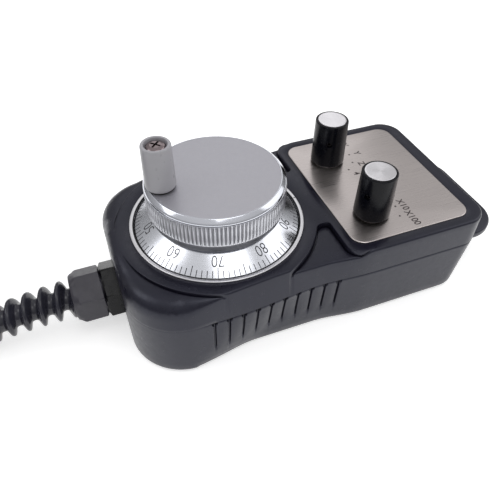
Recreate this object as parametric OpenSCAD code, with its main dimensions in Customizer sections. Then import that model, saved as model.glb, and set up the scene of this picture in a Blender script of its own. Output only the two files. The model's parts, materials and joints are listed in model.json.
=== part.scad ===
// Hand-held control pendant with a pulse generator handwheel and two rotary selectors.
// Millimetres, +Z up. The origin is where the handwheel's axis meets the flat underside,
// +X points from the handwheel to the selector panel, and the cable leaves towards -X.

/* [Housing] */
// Distance from the handwheel axis to the cable end of the housing
cable_end = 50; // [48:0.5:56]
// Distance from the handwheel axis to the panel end of the housing
panel_end = 120.4; // [119.5:0.1:126]
// Half the housing's width beside the handwheel
wheel_half = 46; // [45.5:0.1:49]
// Half the housing's width at the grip
waist_half = 42.4; // [41.8:0.1:44]
// Half the housing's width beside the panel
panel_half = 44.6; // [44:0.1:47]
// Wall thickness of both shells
wall = 2.6; // [2:0.1:3]
// Height of the joint between the two shells
split_z = 30.6; // [30:0.1:33]
// Height of the lowered deck around the dial platform
pit_z = 43; // [42.9:0.1:43.3]
// Height of the raised dial platform and panel frame
deck_z = 45.5; // [45:0.1:45.8]
// Radius of the raised dial platform
platform_r = 46.1; // [44:0.1:48]
// Corner radius at the cable end
wheel_corner = 25; // [18:0.5:28]
// Corner radius at the panel end
panel_corner = 11; // [8:0.5:14]
// Largest roll-off of the upper edge, at the cable end corners
corner_roll = 7.5; // [3:0.5:8.5]

/* [Finger grooves] */
// Grooves on each side of the grip
groove_count = 10; // [0:1:12]
// Distance from groove to groove
groove_pitch = 6.65; // [5:0.05:7.4]
// Depth of a groove
groove_depth = 1; // [0.4:0.1:1.4]

/* [Hanging lug] */
// How far the lug stands out of the panel end
lug_out = 26; // [10:1:34]
// Width of the lug
lug_w = 66; // [40:1:70]
// Thickness of the lug
lug_t = 4; // [3:0.5:6]

/* [Selector panel] */
// Length of the metal plate along the housing
plate_l = 61.6; // [60:0.1:62]
// Width of the metal plate
plate_w = 78.4; // [76:0.1:79]
// Thickness of the metal plate
plate_t = 1.5; // [1:0.1:1.5]
// Distance of the selectors from the plate's edge towards the handwheel
knob_in = 16.9; // [15:0.1:20]
// Distance of each selector from the middle line
knob_y = 22.4; // [20:0.1:24]
// Radius of a knob at its foot
knob_r = 8.5; // [8.3:0.1:11]
// Height of a knob
knob_h = 22.7; // [20:0.1:24]
// Radius of a selector's shaft
shaft_r = 3; // [2.5:0.1:3.2]

/* [Pulse generator] */
// Outer radius of the bezel ring
bezel_r = 40; // [39:0.1:42]
// Radius of the knurled handwheel
wheel_r = 31; // [30:0.1:33]
// Height of the handwheel's top face above the underside
wheel_top = 70.5; // [70.3:0.1:76]
// Ridges of the knurled band
knurls = 112; // [60:4:160]
// Distance of the finger grip from the handwheel axis
crank_x = 23.7; // [22:0.1:24.4]
// Height of the finger grip
grip_h = 20; // [14:0.5:24]
// Radius of the finger grip at its foot
grip_r = 6.6; // [6.2:0.1:7]
// Radius of the steel spindle
spindle_r = 3; // [2.5:0.1:3]
// Radial clearance of every running fit
running_gap = 0.04; // [0.02:0.01:0.08]

/* [Cable gland] */
// Height of the gland's axis above the underside
gland_z = 18.4; // [18:0.1:18.6]
// Size across flats of the gland's hexagons
gland_af = 22; // [20:0.5:23]
// Radius of the gland's threaded stem
gland_stem_r = 9.3; // [8.5:0.1:9.4]
// Length of the finned bend protector
guard_l = 60; // [40:1:62]
// Radius of the bend protector's first fin
guard_r = 9.4; // [8.5:0.1:9.6]
// Distance from fin to fin
guard_pitch = 7.1; // [6:0.1:8]

/* [Cable] */
// Diameter of the cable
cord_d = 7; // [6:0.1:7.2]
// Mean radius of the coiled cable
coil_r = 40; // [38:0.5:41]

/* [Hidden] */
$fn = 64;

// Small clearance between pieces that are assembled and don't move
seat_gap = 0.05;
// Overshoot of a cut past the face it opens
past = 1;
// How far two shapes of one piece reach into each other to join
join = 0.01;

// ---- housing outline -----------------------------------------------------------------
// Each level of the housing: where the narrowing towards the grip starts and ends,
// the half widths beside the wheel, at the grip and beside the panel, and the panel end.
base_level = [-32, 4, wheel_half, waist_half - 1.4, panel_half - 1, panel_end - 3.5];
split_level = [-8, 34, wheel_half + 0.4, waist_half + 0.8, panel_half, panel_end];
deck_level = [-22, 24, wheel_half, waist_half, panel_half, panel_end];
// The metal plate, and the frame round it where the triangular pits end
plate_x0 = panel_end - plate_l - 7.4;
plate_z = deck_z + 0.2 - plate_t;
frame_x0 = plate_x0 - 4.1;
frame_corner = 6.5;
knob_x = plate_x0 + knob_in;
// Where the grip widens again towards the panel
panel_start = frame_x0 - 13.3;
panel_full = frame_x0 + 12.7;
// Points of half an outline: round the cable end corner, along the side, round the panel end
corner_steps = 6;
side_steps = 14;
half_count = 2 * corner_steps + side_steps + 1;
deck_under = pit_z - 2.4;
bottom_edge = 3;
edge_roll = 1.2;

function mix(a, b, t) = a + (b - a) * t;
function ease(t) = let (u = min(1, max(0, t))) u * u * (3 - 2 * u);
function level(z) =
    z < split_z ? mix(base_level, split_level, z / split_z)
    : mix(split_level, deck_level, min(1, (z - split_z) / (pit_z - split_z)));
function side_y(x, s) =
    x < panel_start ? mix(s[2], s[3], ease((x - s[0]) / (s[1] - s[0])))
    : mix(s[3], s[4], ease((x - panel_start) / (panel_full - panel_start)));
function arc_point(cx, cy, r, a) = [cx + r * cos(a), cy + r * sin(a)];
// Point i of the half outline at level s, moved inwards by inset
function half_point(i, s, inset) =
    i <= corner_steps
    ? arc_point(wheel_corner - cable_end, s[2] - wheel_corner, wheel_corner - inset,
        180 - 90 * i / corner_steps)
    : i <= corner_steps + side_steps
    ? let (x0 = wheel_corner - cable_end, x1 = s[5] - panel_corner,
        x = mix(x0, x1, (i - corner_steps) / side_steps)) [x, side_y(x, s) - inset]
    : arc_point(s[5] - panel_corner, s[4] - panel_corner, panel_corner - inset,
        90 - 90 * (i - corner_steps - side_steps) / corner_steps);
function mirrored(half) =
    concat(half, [for (i = [len(half) - 1:-1:0]) [half[i].x, -half[i].y]]);
function outline(z, inset = 0) =
    mirrored([for (i = [0:half_count - 1]) half_point(i, level(z), inset)]);
function ring(z, inset = 0) = [for (p = outline(z, inset)) [p.x, p.y, z]];
// The upper edge rolls off widely outside the dial platform and tightly elsewhere
function roll(p) =
    p.x < 0 ? min(corner_roll, max(edge_roll, norm(p) - platform_r)) : edge_roll;
// The lowered deck rises until it is flush with the dial platform at the cable end and
// beside the handwheel, and with the frame beside the panel
function deck_top(p) =
    let (at_end = ease((abs(atan2(p.y, p.x)) - 158) / 16), at_wheel = ease((14 - abs(p.x - 1)) / 6),
        at_frame = ease((p.x - frame_x0 + 6) / 6))
    pit_z + (deck_z - pit_z) * max(at_end, at_wheel, at_frame);
function rolled_half(a) =
    [for (i = [0:half_count - 1])
        let (edge = half_point(i, level(pit_z), 0), r = roll(edge), z = deck_top(edge) - r * (1 - sin(a)),
            p = half_point(i, level(z), r * (1 - cos(a)))) [p.x, p.y, z]];
function low_half() =
    [for (i = [0:half_count - 1])
        let (p = half_point(i, level(pit_z), 1 + roll(half_point(i, level(pit_z), 0)))) [p.x, p.y, pit_z]];
function mirrored_ring(half) =
    concat(half, [for (i = [half_count - 1:-1:0]) [half[i].x, -half[i].y, half[i].z]]);

// Closed solid through rings of equal length, the first capped below and the last above
module loft(rings) {
    n = len(rings[0]);
    polyhedron(
        points = [for (r = rings) each r],
        faces = concat(
            [[for (j = [n - 1:-1:0]) j]],
            [[for (j = [0:n - 1]) (len(rings) - 1) * n + j]],
            [for (k = [0:len(rings) - 2]) for (j = [0:n - 1])
                let (a = k * n + j, b = k * n + (j + 1) % n)
                each [[a, b, b + n], [a, b + n, a + n]]]));
}

// ---- shared shapes -------------------------------------------------------------------
module at_screws(z = 0) {
    for (p = [[12 - cable_end, wheel_half - 16], [frame_x0 - 3.3, waist_half - 11.2],
            [panel_end - 14.9, panel_half - 11.1]], side = [-1, 1])
        translate([p.x, side * p.y, z]) children();
}
module tube(r, inner_r, h) {
    difference() {
        cylinder(r = r, h = h);
        translate([0, 0, -past]) cylinder(r = inner_r, h = h + 2 * past);
    }
}
module hexagon(af, h) {
    cylinder(d = af / cos(30), h = h, $fn = 6);
}
module rounded_plate(x0, x1, half_w, r, z0, z1) {
    translate([x0, -half_w + r, z0]) cube([x1 - x0, 2 * (half_w - r), z1 - z0]);
    translate([x0 + r, -half_w, z0]) cube([x1 - x0 - 2 * r, 2 * half_w, z1 - z0]);
    for (x = [x0 + r, x1 - r], y = [-1, 1])
        translate([x, y * (half_w - r), z0]) cylinder(r = r, h = z1 - z0);
}
// A screw pointing up from z = 0, with its head below
module screw_up(r, length, head_r, head_h) {
    translate([0, 0, -join]) cylinder(r = r, h = length + join);
    difference() {
        translate([0, 0, -head_h]) cylinder(r = head_r, h = head_h);
        translate([0, 0, -head_h - past]) hexagon(head_r, head_h * 0.6 + past);
    }
}
// Turns a shape built along +Z to point along -X from the cable end face
module along_cable(x) {
    translate([x, 0, gland_z]) rotate([0, -90, 0]) children();
}

// ---- housing -------------------------------------------------------------------------
screw_r = 1.5;
screw_head_r = 3;
boss_r = 3.5;
screw_seat = 3.4;
screw_end = deck_under - 2.6;
can_r = 30;
flange_screw_pcd = 70;
bush_r = 4.5;
// Half the width of the bridge between the dial platform and the panel frame
bridge_half = 20.5;

module top_body() {
    loft(concat(
        [ring(deck_under, wall), ring(split_z, wall), ring(split_z)],
        [for (a = [0:22.5:90]) mirrored_ring(rolled_half(a))], [mirrored_ring(low_half())]));
    intersection() {
        translate([0, 0, deck_under + 0.5])
            linear_extrude(deck_z - deck_under - 0.5) polygon(outline(pit_z, edge_roll));
        union() {
            translate([0, 0, deck_under + 0.5]) cylinder(r = platform_r, h = deck_z - deck_under, $fn = 128);
            rounded_plate(frame_x0, panel_end + 20, panel_half - edge_roll, frame_corner, deck_under + 0.5, deck_z);
            translate([frame_x0 - 15, -bridge_half, deck_under + 0.5])
                cube([30, 2 * bridge_half, deck_z - deck_under - 0.5]);
        }
    }
    at_screws(split_z) cylinder(r = boss_r, h = deck_under - split_z + 0.5);
}
module top_shell() {
    color([0.17, 0.17, 0.21]) difference() {
        top_body();
        translate([0, 0, pit_z]) cylinder(r = bezel_r + seat_gap, h = 10);
        translate([0, 0, deck_under - past]) cylinder(r = can_r + 0.2, h = 10);
        rounded_plate(plate_x0 - seat_gap, plate_x0 + plate_l + seat_gap, plate_w / 2 + seat_gap,
            6.5, plate_z, deck_z + past);
        for (side = [-1, 1]) translate([knob_x, side * knob_y, deck_under - past])
            cylinder(r = bush_r + 0.1, h = 10);
        for (a = [30:120:270]) rotate(a) translate([flange_screw_pcd / 2, 0, deck_under - past])
            cylinder(r = screw_r + 0.1, h = 5);
        at_screws(split_z - past) cylinder(r = screw_r, h = screw_end + 1 - split_z + past);
    }
}

groove_x0 = -17.2;
groove_z0 = 10;
groove_z1 = split_z - 1;
module finger_groove(x) {
    low = side_y(x, level(groove_z0));
    high = side_y(x, level(groove_z1));
    lean = atan2(high - low, groove_z1 - groove_z0);
    translate([x, low, groove_z0]) rotate([-lean, 0, 0]) translate([0, 2 - groove_depth, 0])
        cylinder(r = 2, h = norm([high - low, groove_z1 - groove_z0]), $fn = 4);
}
module lug() {
    x1 = panel_end + lug_out;
    r = lug_w / 4;
    z0 = 22 - lug_t;
    translate([panel_end - 6, -lug_w / 2, z0]) cube([lug_out + 6 - r, lug_w, lug_t]);
    translate([panel_end - 6, -lug_w / 2 + r, z0]) cube([lug_out + 6, lug_w - 2 * r, lug_t]);
    for (side = [-1, 1]) translate([x1 - r, side * (lug_w / 2 - r), z0]) cylinder(r = r, h = lug_t);
}
gasket_h = 0.8;
gasket_in = 0.8;
gasket_out = 1.8;
module bottom_shell() {
    color([0.16, 0.16, 0.19]) difference() {
        union() {
            loft(concat(
                [for (a = [90, 60, 30]) ring(bottom_edge * (1 - sin(a)), bottom_edge * (1 - cos(a)))],
                [for (t = [0, 0.25, 0.5, 0.75, 1]) ring(mix(bottom_edge, split_z, t))],
                [ring(split_z, wall), ring(mix(split_z, wall, 0.5), wall),
                    ring(wall + 1, wall), ring(wall, wall + 1)]));
            lug();
            at_screws(wall - 1) cylinder(r = boss_r, h = split_z - wall + 1);
        }
        for (i = [0:1:groove_count - 1], side = [0, 1])
            mirror([0, side, 0]) finger_groove(groove_x0 + i * groove_pitch);
        at_screws(-past) cylinder(r = screw_r + 0.1, h = split_z + 2 * past);
        at_screws(-past) cylinder(r = screw_head_r + 0.2, h = screw_seat + past);
        along_cable(past - cable_end + wall) cylinder(r = gland_stem_r + seat_gap, h = wall + 2 * past);
        gasket_band(split_z - gasket_h, split_z + past);
    }
}
// A band that runs round the rim of the housing
module gasket_band(z0, z1) {
    difference() {
        translate([0, 0, z0]) linear_extrude(z1 - z0) polygon(outline(split_z, gasket_in));
        translate([0, 0, z0 - past]) linear_extrude(z1 - z0 + 2 * past)
            polygon(outline(split_z, gasket_out));
    }
}
module housing_gasket() {
    color([0.06, 0.06, 0.07]) gasket_band(split_z - gasket_h, split_z);
}
module housing_screws() {
    color("silver") at_screws(screw_seat) screw_up(screw_r, screw_end - screw_seat, screw_head_r, 2.6);
}
module panel_plate() {
    color([0.66, 0.64, 0.62]) difference() {
        rounded_plate(plate_x0, plate_x0 + plate_l, plate_w / 2, 6.5, plate_z, plate_z + plate_t);
        for (side = [-1, 1]) translate([knob_x, side * knob_y, plate_z - past])
            cylinder(r = bush_r + 0.1, h = plate_t + 2 * past);
    }
}

// ---- pulse generator: fixed pieces ---------------------------------------------------
flange_t = 1.5;
bezel_w = 1.65;
bezel_top = deck_z + 0.5;
dial_r = bezel_r - bezel_w - 0.25;
hub_r = 12;
hub_z = 26;
bearing_or = 7.5;
bearing_w = 5;
bearing_zs = [hub_z, pit_z + flange_t - bearing_w];
race_or = 4.3;
race_ir = 6.2;
ball_r = 0.9;
can_wall = 1.4;
can_z = 14;

module encoder_flange() {
    color([0.72, 0.73, 0.75]) difference() {
        rotate_extrude($fn = 128) polygon([
            [bearing_or - 1, hub_z], [hub_r, hub_z], [hub_r, pit_z - 1], [can_r - can_wall, pit_z - 1],
            [can_r - can_wall, pit_z], [bezel_r, pit_z], [bezel_r, bezel_top],
            [bezel_r - bezel_w, bezel_top], [bezel_r - bezel_w, pit_z + flange_t],
            [bearing_or - 1, pit_z + flange_t]]);
        for (z = bearing_zs) translate([0, 0, z == hub_z ? z - past : z])
            cylinder(r = bearing_or, h = bearing_w + past);
        for (a = [30:120:270]) rotate(a) translate([flange_screw_pcd / 2, 0, pit_z - past])
            cylinder(r = screw_r, h = flange_t + 2 * past);
    }
}
module flange_screws() {
    color("silver") for (a = [30:120:270]) rotate(a)
        translate([flange_screw_pcd / 2, 0, deck_under]) screw_up(screw_r, 3.8, 2.8, 2);
}
module encoder_can() {
    color([0.25, 0.26, 0.28]) difference() {
        translate([0, 0, can_z]) cylinder(r = can_r, h = pit_z - can_z);
        translate([0, 0, can_z + can_wall]) cylinder(r = can_r - can_wall, h = pit_z);
        translate([0, 0, can_z - past]) cylinder(r = 5, h = 5);
    }
}
module encoder_board() {
    color([0.1, 0.35, 0.2]) translate([0, 0, can_z + can_wall + 1.4])
        tube(can_r - can_wall - 0.2, 6, 1.4);
}
disc_z = 23.8;
disc_r = 24;
module optical_sensor() {
    board_top = can_z + can_wall + 2.8;
    color([0.12, 0.12, 0.13]) difference() {
        translate([-28, -5, board_top]) cube([6.5, 10, 28.4 - board_top]);
        translate([-25, -5 - past, disc_z - 0.8]) cube([10, 10 + 2 * past, 2.8]);
    }
}
module encoder_terminals() {
    color([0.1, 0.4, 0.2]) difference() {
        translate([-14, 8, can_z - 8]) cube([28, 9, 8]);
        for (i = [-2.5:1:2.5]) translate([i * 4.4, 12.5, can_z - 8 - past]) cylinder(r = 1.5, h = 3 + past);
    }
}
detent_z = 20;
detent_r = 20;
detent_teeth = 100;
spring_ball_r = 1.2;
module detent_spring() {
    touch_x = detent_r + 0.1 + spring_ball_r;
    board_top = can_z + can_wall + 2.8;
    color("silver") {
        translate([touch_x + spring_ball_r - 0.3, -4, detent_z - 0.2]) cube([0.5, 17, 3]);
        translate([touch_x, 0, detent_z + 1.3]) sphere(r = spring_ball_r, $fn = 32);
        translate([touch_x + 0.4, 10, board_top]) cube([3.1, 3, detent_z + 3 - board_top]);
    }
}
module bearing_outer_races() {
    color("silver") for (z = bearing_zs) translate([0, 0, z]) tube(bearing_or, race_ir, bearing_w);
}
module bearing_balls() {
    color("silver") for (z = bearing_zs, a = [0:45:315])
        rotate(a) translate([(race_or + race_ir) / 2, 0, z + bearing_w / 2]) sphere(r = ball_r, $fn = 24);
}

// ---- pulse generator: what turns -----------------------------------------------------
web_z = pit_z + 9;
spindle_top = wheel_top - 5.5;
screw_floor = wheel_top - 3.5;
cover_t = 1.2;
cover_r = wheel_r - 3.3;
wheel_bottom = web_z + 1;
band_z1 = wheel_top - 3.5;
band_z0 = mix(wheel_bottom, band_z1, 0.2);
pin_foot = max(wheel_bottom + 1, wheel_top - 11.5);
hub_wheel_r = 8;

module bearing_inner_races() {
    color("silver") for (z = bearing_zs) translate([0, 0, z]) tube(race_or, spindle_r, bearing_w);
}
module spindle() {
    color("silver") difference() {
        translate([0, 0, can_z + can_wall + 1]) cylinder(r = spindle_r, h = spindle_top - can_z - can_wall - 1);
        translate([0, 0, spindle_top - 8]) cylinder(r = screw_r, h = 8 + past);
    }
}
module code_disc() {
    color([0.7, 0.75, 0.75]) translate([0, 0, disc_z]) tube(disc_r, spindle_r, 1);
}
module detent_wheel() {
    tooth = 0.5;
    color([0.75, 0.65, 0.35]) difference() {
        translate([0, 0, detent_z]) linear_extrude(2.6) polygon([for (i = [0:2 * detent_teeth - 1])
            (detent_r - (i % 2) * tooth) * [cos(i * 180 / detent_teeth), sin(i * 180 / detent_teeth)]]);
        translate([0, 0, detent_z - past]) cylinder(r = spindle_r, h = 2.6 + 2 * past);
    }
}
dial_in = 27.5;
dial_screw_r = 23.5;
module dial_ring() {
    foot = pit_z + flange_t + 0.4;
    web_t = 1.6;
    color([0.74, 0.75, 0.77]) difference() {
        rotate_extrude($fn = 128) polygon([
            [dial_r, foot], [dial_r, foot + 0.3], [dial_in, web_z],
            [hub_wheel_r + seat_gap, web_z], [hub_wheel_r + seat_gap, web_z - web_t],
            [dial_in - 0.7, web_z - web_t], [dial_r - 2, foot]]);
        for (a = [0:120:240]) rotate(a) translate([dial_screw_r, 0, web_z - web_t - past]) {
            cylinder(r = 1.25, h = 5);
            cylinder(r = 2.3, h = 1.1 + past);
        }
    }
}
module dial_screws() {
    color("silver") for (a = [0:120:240]) rotate(a)
        translate([dial_screw_r, 0, web_z - 0.5]) screw_up(1.25, 6.5, 2.2, 1);
}
module handwheel() {
    groove_z = band_z1 + 0.2;
    face_z = wheel_top - cover_t;
    color([0.72, 0.73, 0.75]) difference() {
        union() {
            rotate_extrude($fn = 128) polygon([
                [spindle_r, web_z - 5], [hub_wheel_r, web_z - 5], [hub_wheel_r, web_z],
                [10, web_z], [10, wheel_top - 6], [21, wheel_top - 6], [21, web_z], [26, web_z], [26, wheel_bottom],
                [wheel_r - 1.4, wheel_bottom], [wheel_r, band_z0], [wheel_r - 0.6, band_z0 + 0.4],
                [wheel_r - 0.6, groove_z + 0.3], [wheel_r, groove_z + 0.6],
                [wheel_r - 2.8, wheel_top], [cover_r, wheel_top], [cover_r, face_z], [spindle_r + 0.4, face_z],
                [spindle_r + 0.4, screw_floor], [screw_r + 0.1, screw_floor],
                [screw_r + 0.1, spindle_top], [spindle_r, spindle_top]]);
            difference() {
                translate([0, 0, band_z0 + 0.2]) linear_extrude(band_z1 - band_z0 - 0.2)
                    polygon([for (i = [0:2 * knurls - 1])
                        (wheel_r - (i % 2) * 0.5) * [cos(i * 180 / knurls), sin(i * 180 / knurls)]]);
                translate([0, 0, band_z0 - past]) cylinder(r = wheel_r - 3, h = 20);
            }
        }
        translate([-crank_x, 0, pin_foot]) cylinder(r = 2.5, h = 30);
        for (a = [0:120:240]) rotate(a) translate([dial_screw_r, 0, web_z - past])
            cylinder(r = 1.25, h = 6 + past);
    }
}
module wheel_cover() {
    color([0.7, 0.71, 0.72]) difference() {
        translate([0, 0, wheel_top - cover_t]) cylinder(r = cover_r - seat_gap, h = cover_t);
        translate([-crank_x, 0, wheel_top - 2 * cover_t]) cylinder(r = 2.5 + seat_gap, h = 3 * cover_t);
    }
}
module wheel_screw() {
    color("silver") translate([0, 0, screw_floor]) {
        difference() {
            cylinder(r = 3.2, h = 2);
            translate([0, 0, 0.8]) hexagon(2.5, 2);
        }
        translate([0, 0, -9.5]) cylinder(r = screw_r, h = 9.5 + join);
    }
}

// ---- finger grip ---------------------------------------------------------------------
pin_r = 2.5;
washer_t = 0.6;
grip_z = wheel_top + washer_t + 0.15;
grip_floor = grip_z + grip_h - 2.1;
module at_crank(z) {
    translate([-crank_x, 0, z]) children();
}
module crank_washer() {
    color([0.1, 0.1, 0.1]) at_crank(wheel_top) tube(5.8, pin_r, washer_t);
}
module crank_pin() {
    head_z = grip_floor + 0.12;
    color("silver") difference() {
        union() {
            at_crank(pin_foot) cylinder(r = pin_r, h = head_z - pin_foot + join);
            at_crank(head_z) rotate_extrude() polygon([
                [0, 0], [4.2, 0], [4.2, 0.7], [3.6, 1.3], [2.4, 1.7], [0, 1.8]]);
        }
        for (a = [45, 135]) at_crank(head_z + 1.3) rotate(a) cube([4.6, 0.9, 1.6], center = true);
    }
}
module crank_grip() {
    bore = pin_r + running_gap;
    top = grip_z + grip_h;
    color([0.58, 0.58, 0.58]) at_crank(0) rotate_extrude() polygon([
        [bore, grip_z], [grip_r - 0.4, grip_z], [grip_r, grip_z + 0.6], [grip_r - 0.45, top - 0.6],
        [grip_r - 0.9, top], [4.7, top], [4.7, grip_floor], [bore, grip_floor]]);
}

// ---- selectors -----------------------------------------------------------------------
knob_z = plate_z + plate_t + 1.3;
cap_t = 1.2;
cap_r = 6.9;
nut_z = plate_z + plate_t + 0.5;
bush_top = knob_z + 3.5;
knob_ceiling = knob_z + 6.5;
switch_bottom = 26;
shaft_foot = 30.2;
shaft_top = knob_z + knob_h - 3.7;
grub_z = knob_z + 13;
// Direction of each knob's set screw at rest, opposite its pointer
axis_grub = 240;
rate_grub = 210;

module selector(side) {
    translate([knob_x, side * knob_y, 0]) children();
}
module knob(grub_angle) {
    top = knob_z + knob_h;
    difference() {
        rotate_extrude() polygon([
            [knob_r - 1.1, knob_z], [knob_r, knob_z], [knob_r - 0.4, top - 0.4], [knob_r - 0.8, top],
            [cap_r + seat_gap, top], [cap_r + seat_gap, top - cap_t + 0.2], [0, top - cap_t + 0.2],
            [0, shaft_top], [shaft_r + seat_gap, shaft_top], [shaft_r + seat_gap, knob_ceiling],
            [knob_r - 1.1, knob_ceiling]]);
        translate([0, 0, grub_z]) rotate([0, 90, grub_angle]) cylinder(r = 1.5, h = knob_r + past);
    }
}
module knob_cap() {
    translate([0, 0, knob_z + knob_h - cap_t + 0.2]) cylinder(r = cap_r, h = cap_t);
}
module knob_grub(grub_angle) {
    rotate(grub_angle) translate([shaft_r - 0.4, 0, grub_z]) rotate([0, 90, 0]) difference() {
        cylinder(r = 1.5, h = 4);
        translate([0, 0, 2.4]) hexagon(1.5, 3);
    }
}
module switch_shaft(grub_angle) {
    difference() {
        translate([0, 0, shaft_foot]) cylinder(r = shaft_r, h = shaft_top - shaft_foot);
        rotate(grub_angle) translate([shaft_r - 0.4, -5, knob_z + 8]) cube([5, 10, 20]);
    }
}
module switch_body(poles) {
    body_top = deck_under - 0.1;
    difference() {
        union() {
            translate([0, 0, switch_bottom]) cylinder(r = 12.5, h = body_top - switch_bottom);
            translate([0, 0, body_top - join]) cylinder(r = bush_r, h = bush_top - body_top + join);
            for (i = [0:poles - 1]) rotate(i * 360 / poles) translate([10, 0, switch_bottom - 4])
                cylinder(r = 0.8, h = 4.5, $fn = 24);
        }
        translate([0, 0, shaft_foot - 0.3]) cylinder(r = shaft_r + running_gap, h = 40);
    }
}
module switch_washer() {
    translate([0, 0, nut_z - 0.5]) tube(6.6, bush_r + seat_gap, 0.5);
}
module switch_nut() {
    translate([0, 0, nut_z]) difference() {
        hexagon(12, 2.2);
        translate([0, 0, -past]) cylinder(r = bush_r, h = 5);
    }
}
module axis_knob() { color([0.1, 0.1, 0.13]) selector(1) knob(axis_grub); }
module axis_knob_cap() { color("silver") selector(1) knob_cap(); }
module axis_knob_grub() { color([0.2, 0.2, 0.2]) selector(1) knob_grub(axis_grub); }
module axis_switch_shaft() { color("silver") selector(1) switch_shaft(axis_grub); }
module axis_switch_body() { color([0.15, 0.15, 0.15]) selector(1) switch_body(12); }
module axis_switch_washer() { color("silver") selector(1) switch_washer(); }
module axis_switch_nut() { color("silver") selector(1) switch_nut(); }
module rate_knob() { color([0.1, 0.1, 0.13]) selector(-1) knob(rate_grub); }
module rate_knob_cap() { color("silver") selector(-1) knob_cap(); }
module rate_knob_grub() { color([0.2, 0.2, 0.2]) selector(-1) knob_grub(rate_grub); }
module rate_switch_shaft() { color("silver") selector(-1) switch_shaft(rate_grub); }
module rate_switch_body() { color([0.15, 0.15, 0.15]) selector(-1) switch_body(9); }
module rate_switch_washer() { color("silver") selector(-1) switch_washer(); }
module rate_switch_nut() { color("silver") selector(-1) switch_nut(); }

// ---- inside the housing --------------------------------------------------------------
board_z = 9;
board_t = 1.6;
board_x0 = plate_x0 - 1.4;
board_l = 51;
module at_standoffs(z) {
    for (x = [board_x0 + 4, board_x0 + board_l - 4], y = [-28, 28]) translate([x, y, z]) children();
}
module interface_board() {
    color([0.1, 0.35, 0.2]) difference() {
        translate([board_x0, -32, board_z]) cube([board_l, 64, board_t]);
        at_standoffs(board_z - past) cylinder(r = 1.3, h = board_t + 2 * past);
    }
}
module board_standoffs() {
    color([0.2, 0.2, 0.2]) at_standoffs(wall) tube(3, 1.25, board_z - wall);
}
module board_screws() {
    color("silver") at_standoffs(board_z + board_t) {
        cylinder(r = 2.2, h = 1.5);
        translate([0, 0, -5.5]) cylinder(r = 1.25, h = 5.5 + join);
    }
}
module terminal_block() {
    color([0.1, 0.4, 0.25]) difference() {
        translate([board_x0 + 10, -24, board_z + board_t]) cube([9, 48, 10]);
        for (i = [-4.5:1:4.5]) translate([board_x0 + 14.5, i * 4.6, board_z + board_t + 7]) cylinder(r = 1.6, h = 5);
    }
}

// ---- cable gland ---------------------------------------------------------------------
flange_l = 7;
nut_l = 14;
stub_l = 9;
stub_r = 8.4;
cord_r = cord_d / 2;
seal_r = 6.3;
guard_bore = cord_r + 0.5;
guard_core = 4.8;
guard_root_r = 6.3;
// Length of its smooth root inside the nut, and how much its fins shrink per millimetre
guard_seat = 1.8;
guard_taper = 0.007;
guard_x0 = -cable_end - flange_l - nut_l + guard_seat;
// The bend protector droops along an arc of this radius
guard_bend_r = 200;

module gland_body() {
    color([0.1, 0.1, 0.11]) along_cable(-cable_end) difference() {
        union() {
            hexagon(gland_af + 1, flange_l);
            translate([0, 0, -wall - 6]) cylinder(r = gland_stem_r, h = wall + 6.1);
            translate([0, 0, flange_l - 0.1]) cylinder(r = stub_r, h = stub_l + 0.1);
        }
        translate([0, 0, -20]) cylinder(r = cord_r + 0.4, h = 60);
        translate([0, 0, flange_l]) cylinder(r = seal_r + seat_gap, h = 20);
    }
}
module gland_locknut() {
    color([0.1, 0.1, 0.11]) along_cable(wall - cable_end + 4) difference() {
        hexagon(gland_af, 4);
        translate([0, 0, -past]) cylinder(r = gland_stem_r, h = 4 + 2 * past);
    }
}
module gland_seal() {
    color([0.05, 0.05, 0.05]) along_cable(-cable_end - flange_l - seat_gap)
        tube(seal_r, cord_r + seat_gap, stub_l + 1);
}
module gland_nut() {
    color([0.3, 0.3, 0.32]) along_cable(-cable_end - flange_l) difference() {
        intersection() {
            hexagon(gland_af, nut_l);
            rotate_extrude() polygon([
                [0, 0], [12, 0], [gland_af * 0.58, 0.8], [gland_af * 0.58, nut_l - 3],
                [gland_af * 0.53, nut_l - 1.2], [gland_af * 0.47, nut_l], [0, nut_l]]);
        }
        translate([0, 0, -past]) cylinder(r = stub_r, h = stub_l + 0.3 + past);
        translate([0, 0, stub_l]) cylinder(r = guard_root_r + seat_gap, h = 20);
    }
}

// Height of a spiral fin over one pitch: root, rise, tip, fall
function fin(t) =
    t < 0.2 ? 0 : t < 0.38 ? (t - 0.2) / 0.18 : t < 0.62 ? 1 : t < 0.8 ? (0.8 - t) / 0.18 : 0;
function guard_radius(s, a) =
    let (turns = (s - guard_seat) / guard_pitch - a / 360,
        fin_h = (guard_r - guard_core) * (1 - guard_taper * s) * ease((guard_l - s) / 8))
    s <= guard_seat ? guard_root_r : guard_core + fin_h * fin(turns - floor(turns));
// Circle of points round the drooping axis, s along it, as a function of the angle
function guard_ring(s, sides, radius) =
    let (t = s / guard_bend_r * 180 / PI,
        centre = [guard_x0 - guard_bend_r * sin(t), 0, gland_z - guard_bend_r * (1 - cos(t))])
    [for (j = [0:sides - 1]) let (a = 360 * j / sides, r = radius[j])
        centre + r * [sin(t) * sin(a), cos(a), cos(t) * sin(a)] - [2 * r * sin(t) * sin(a), 0, 0]];
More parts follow.
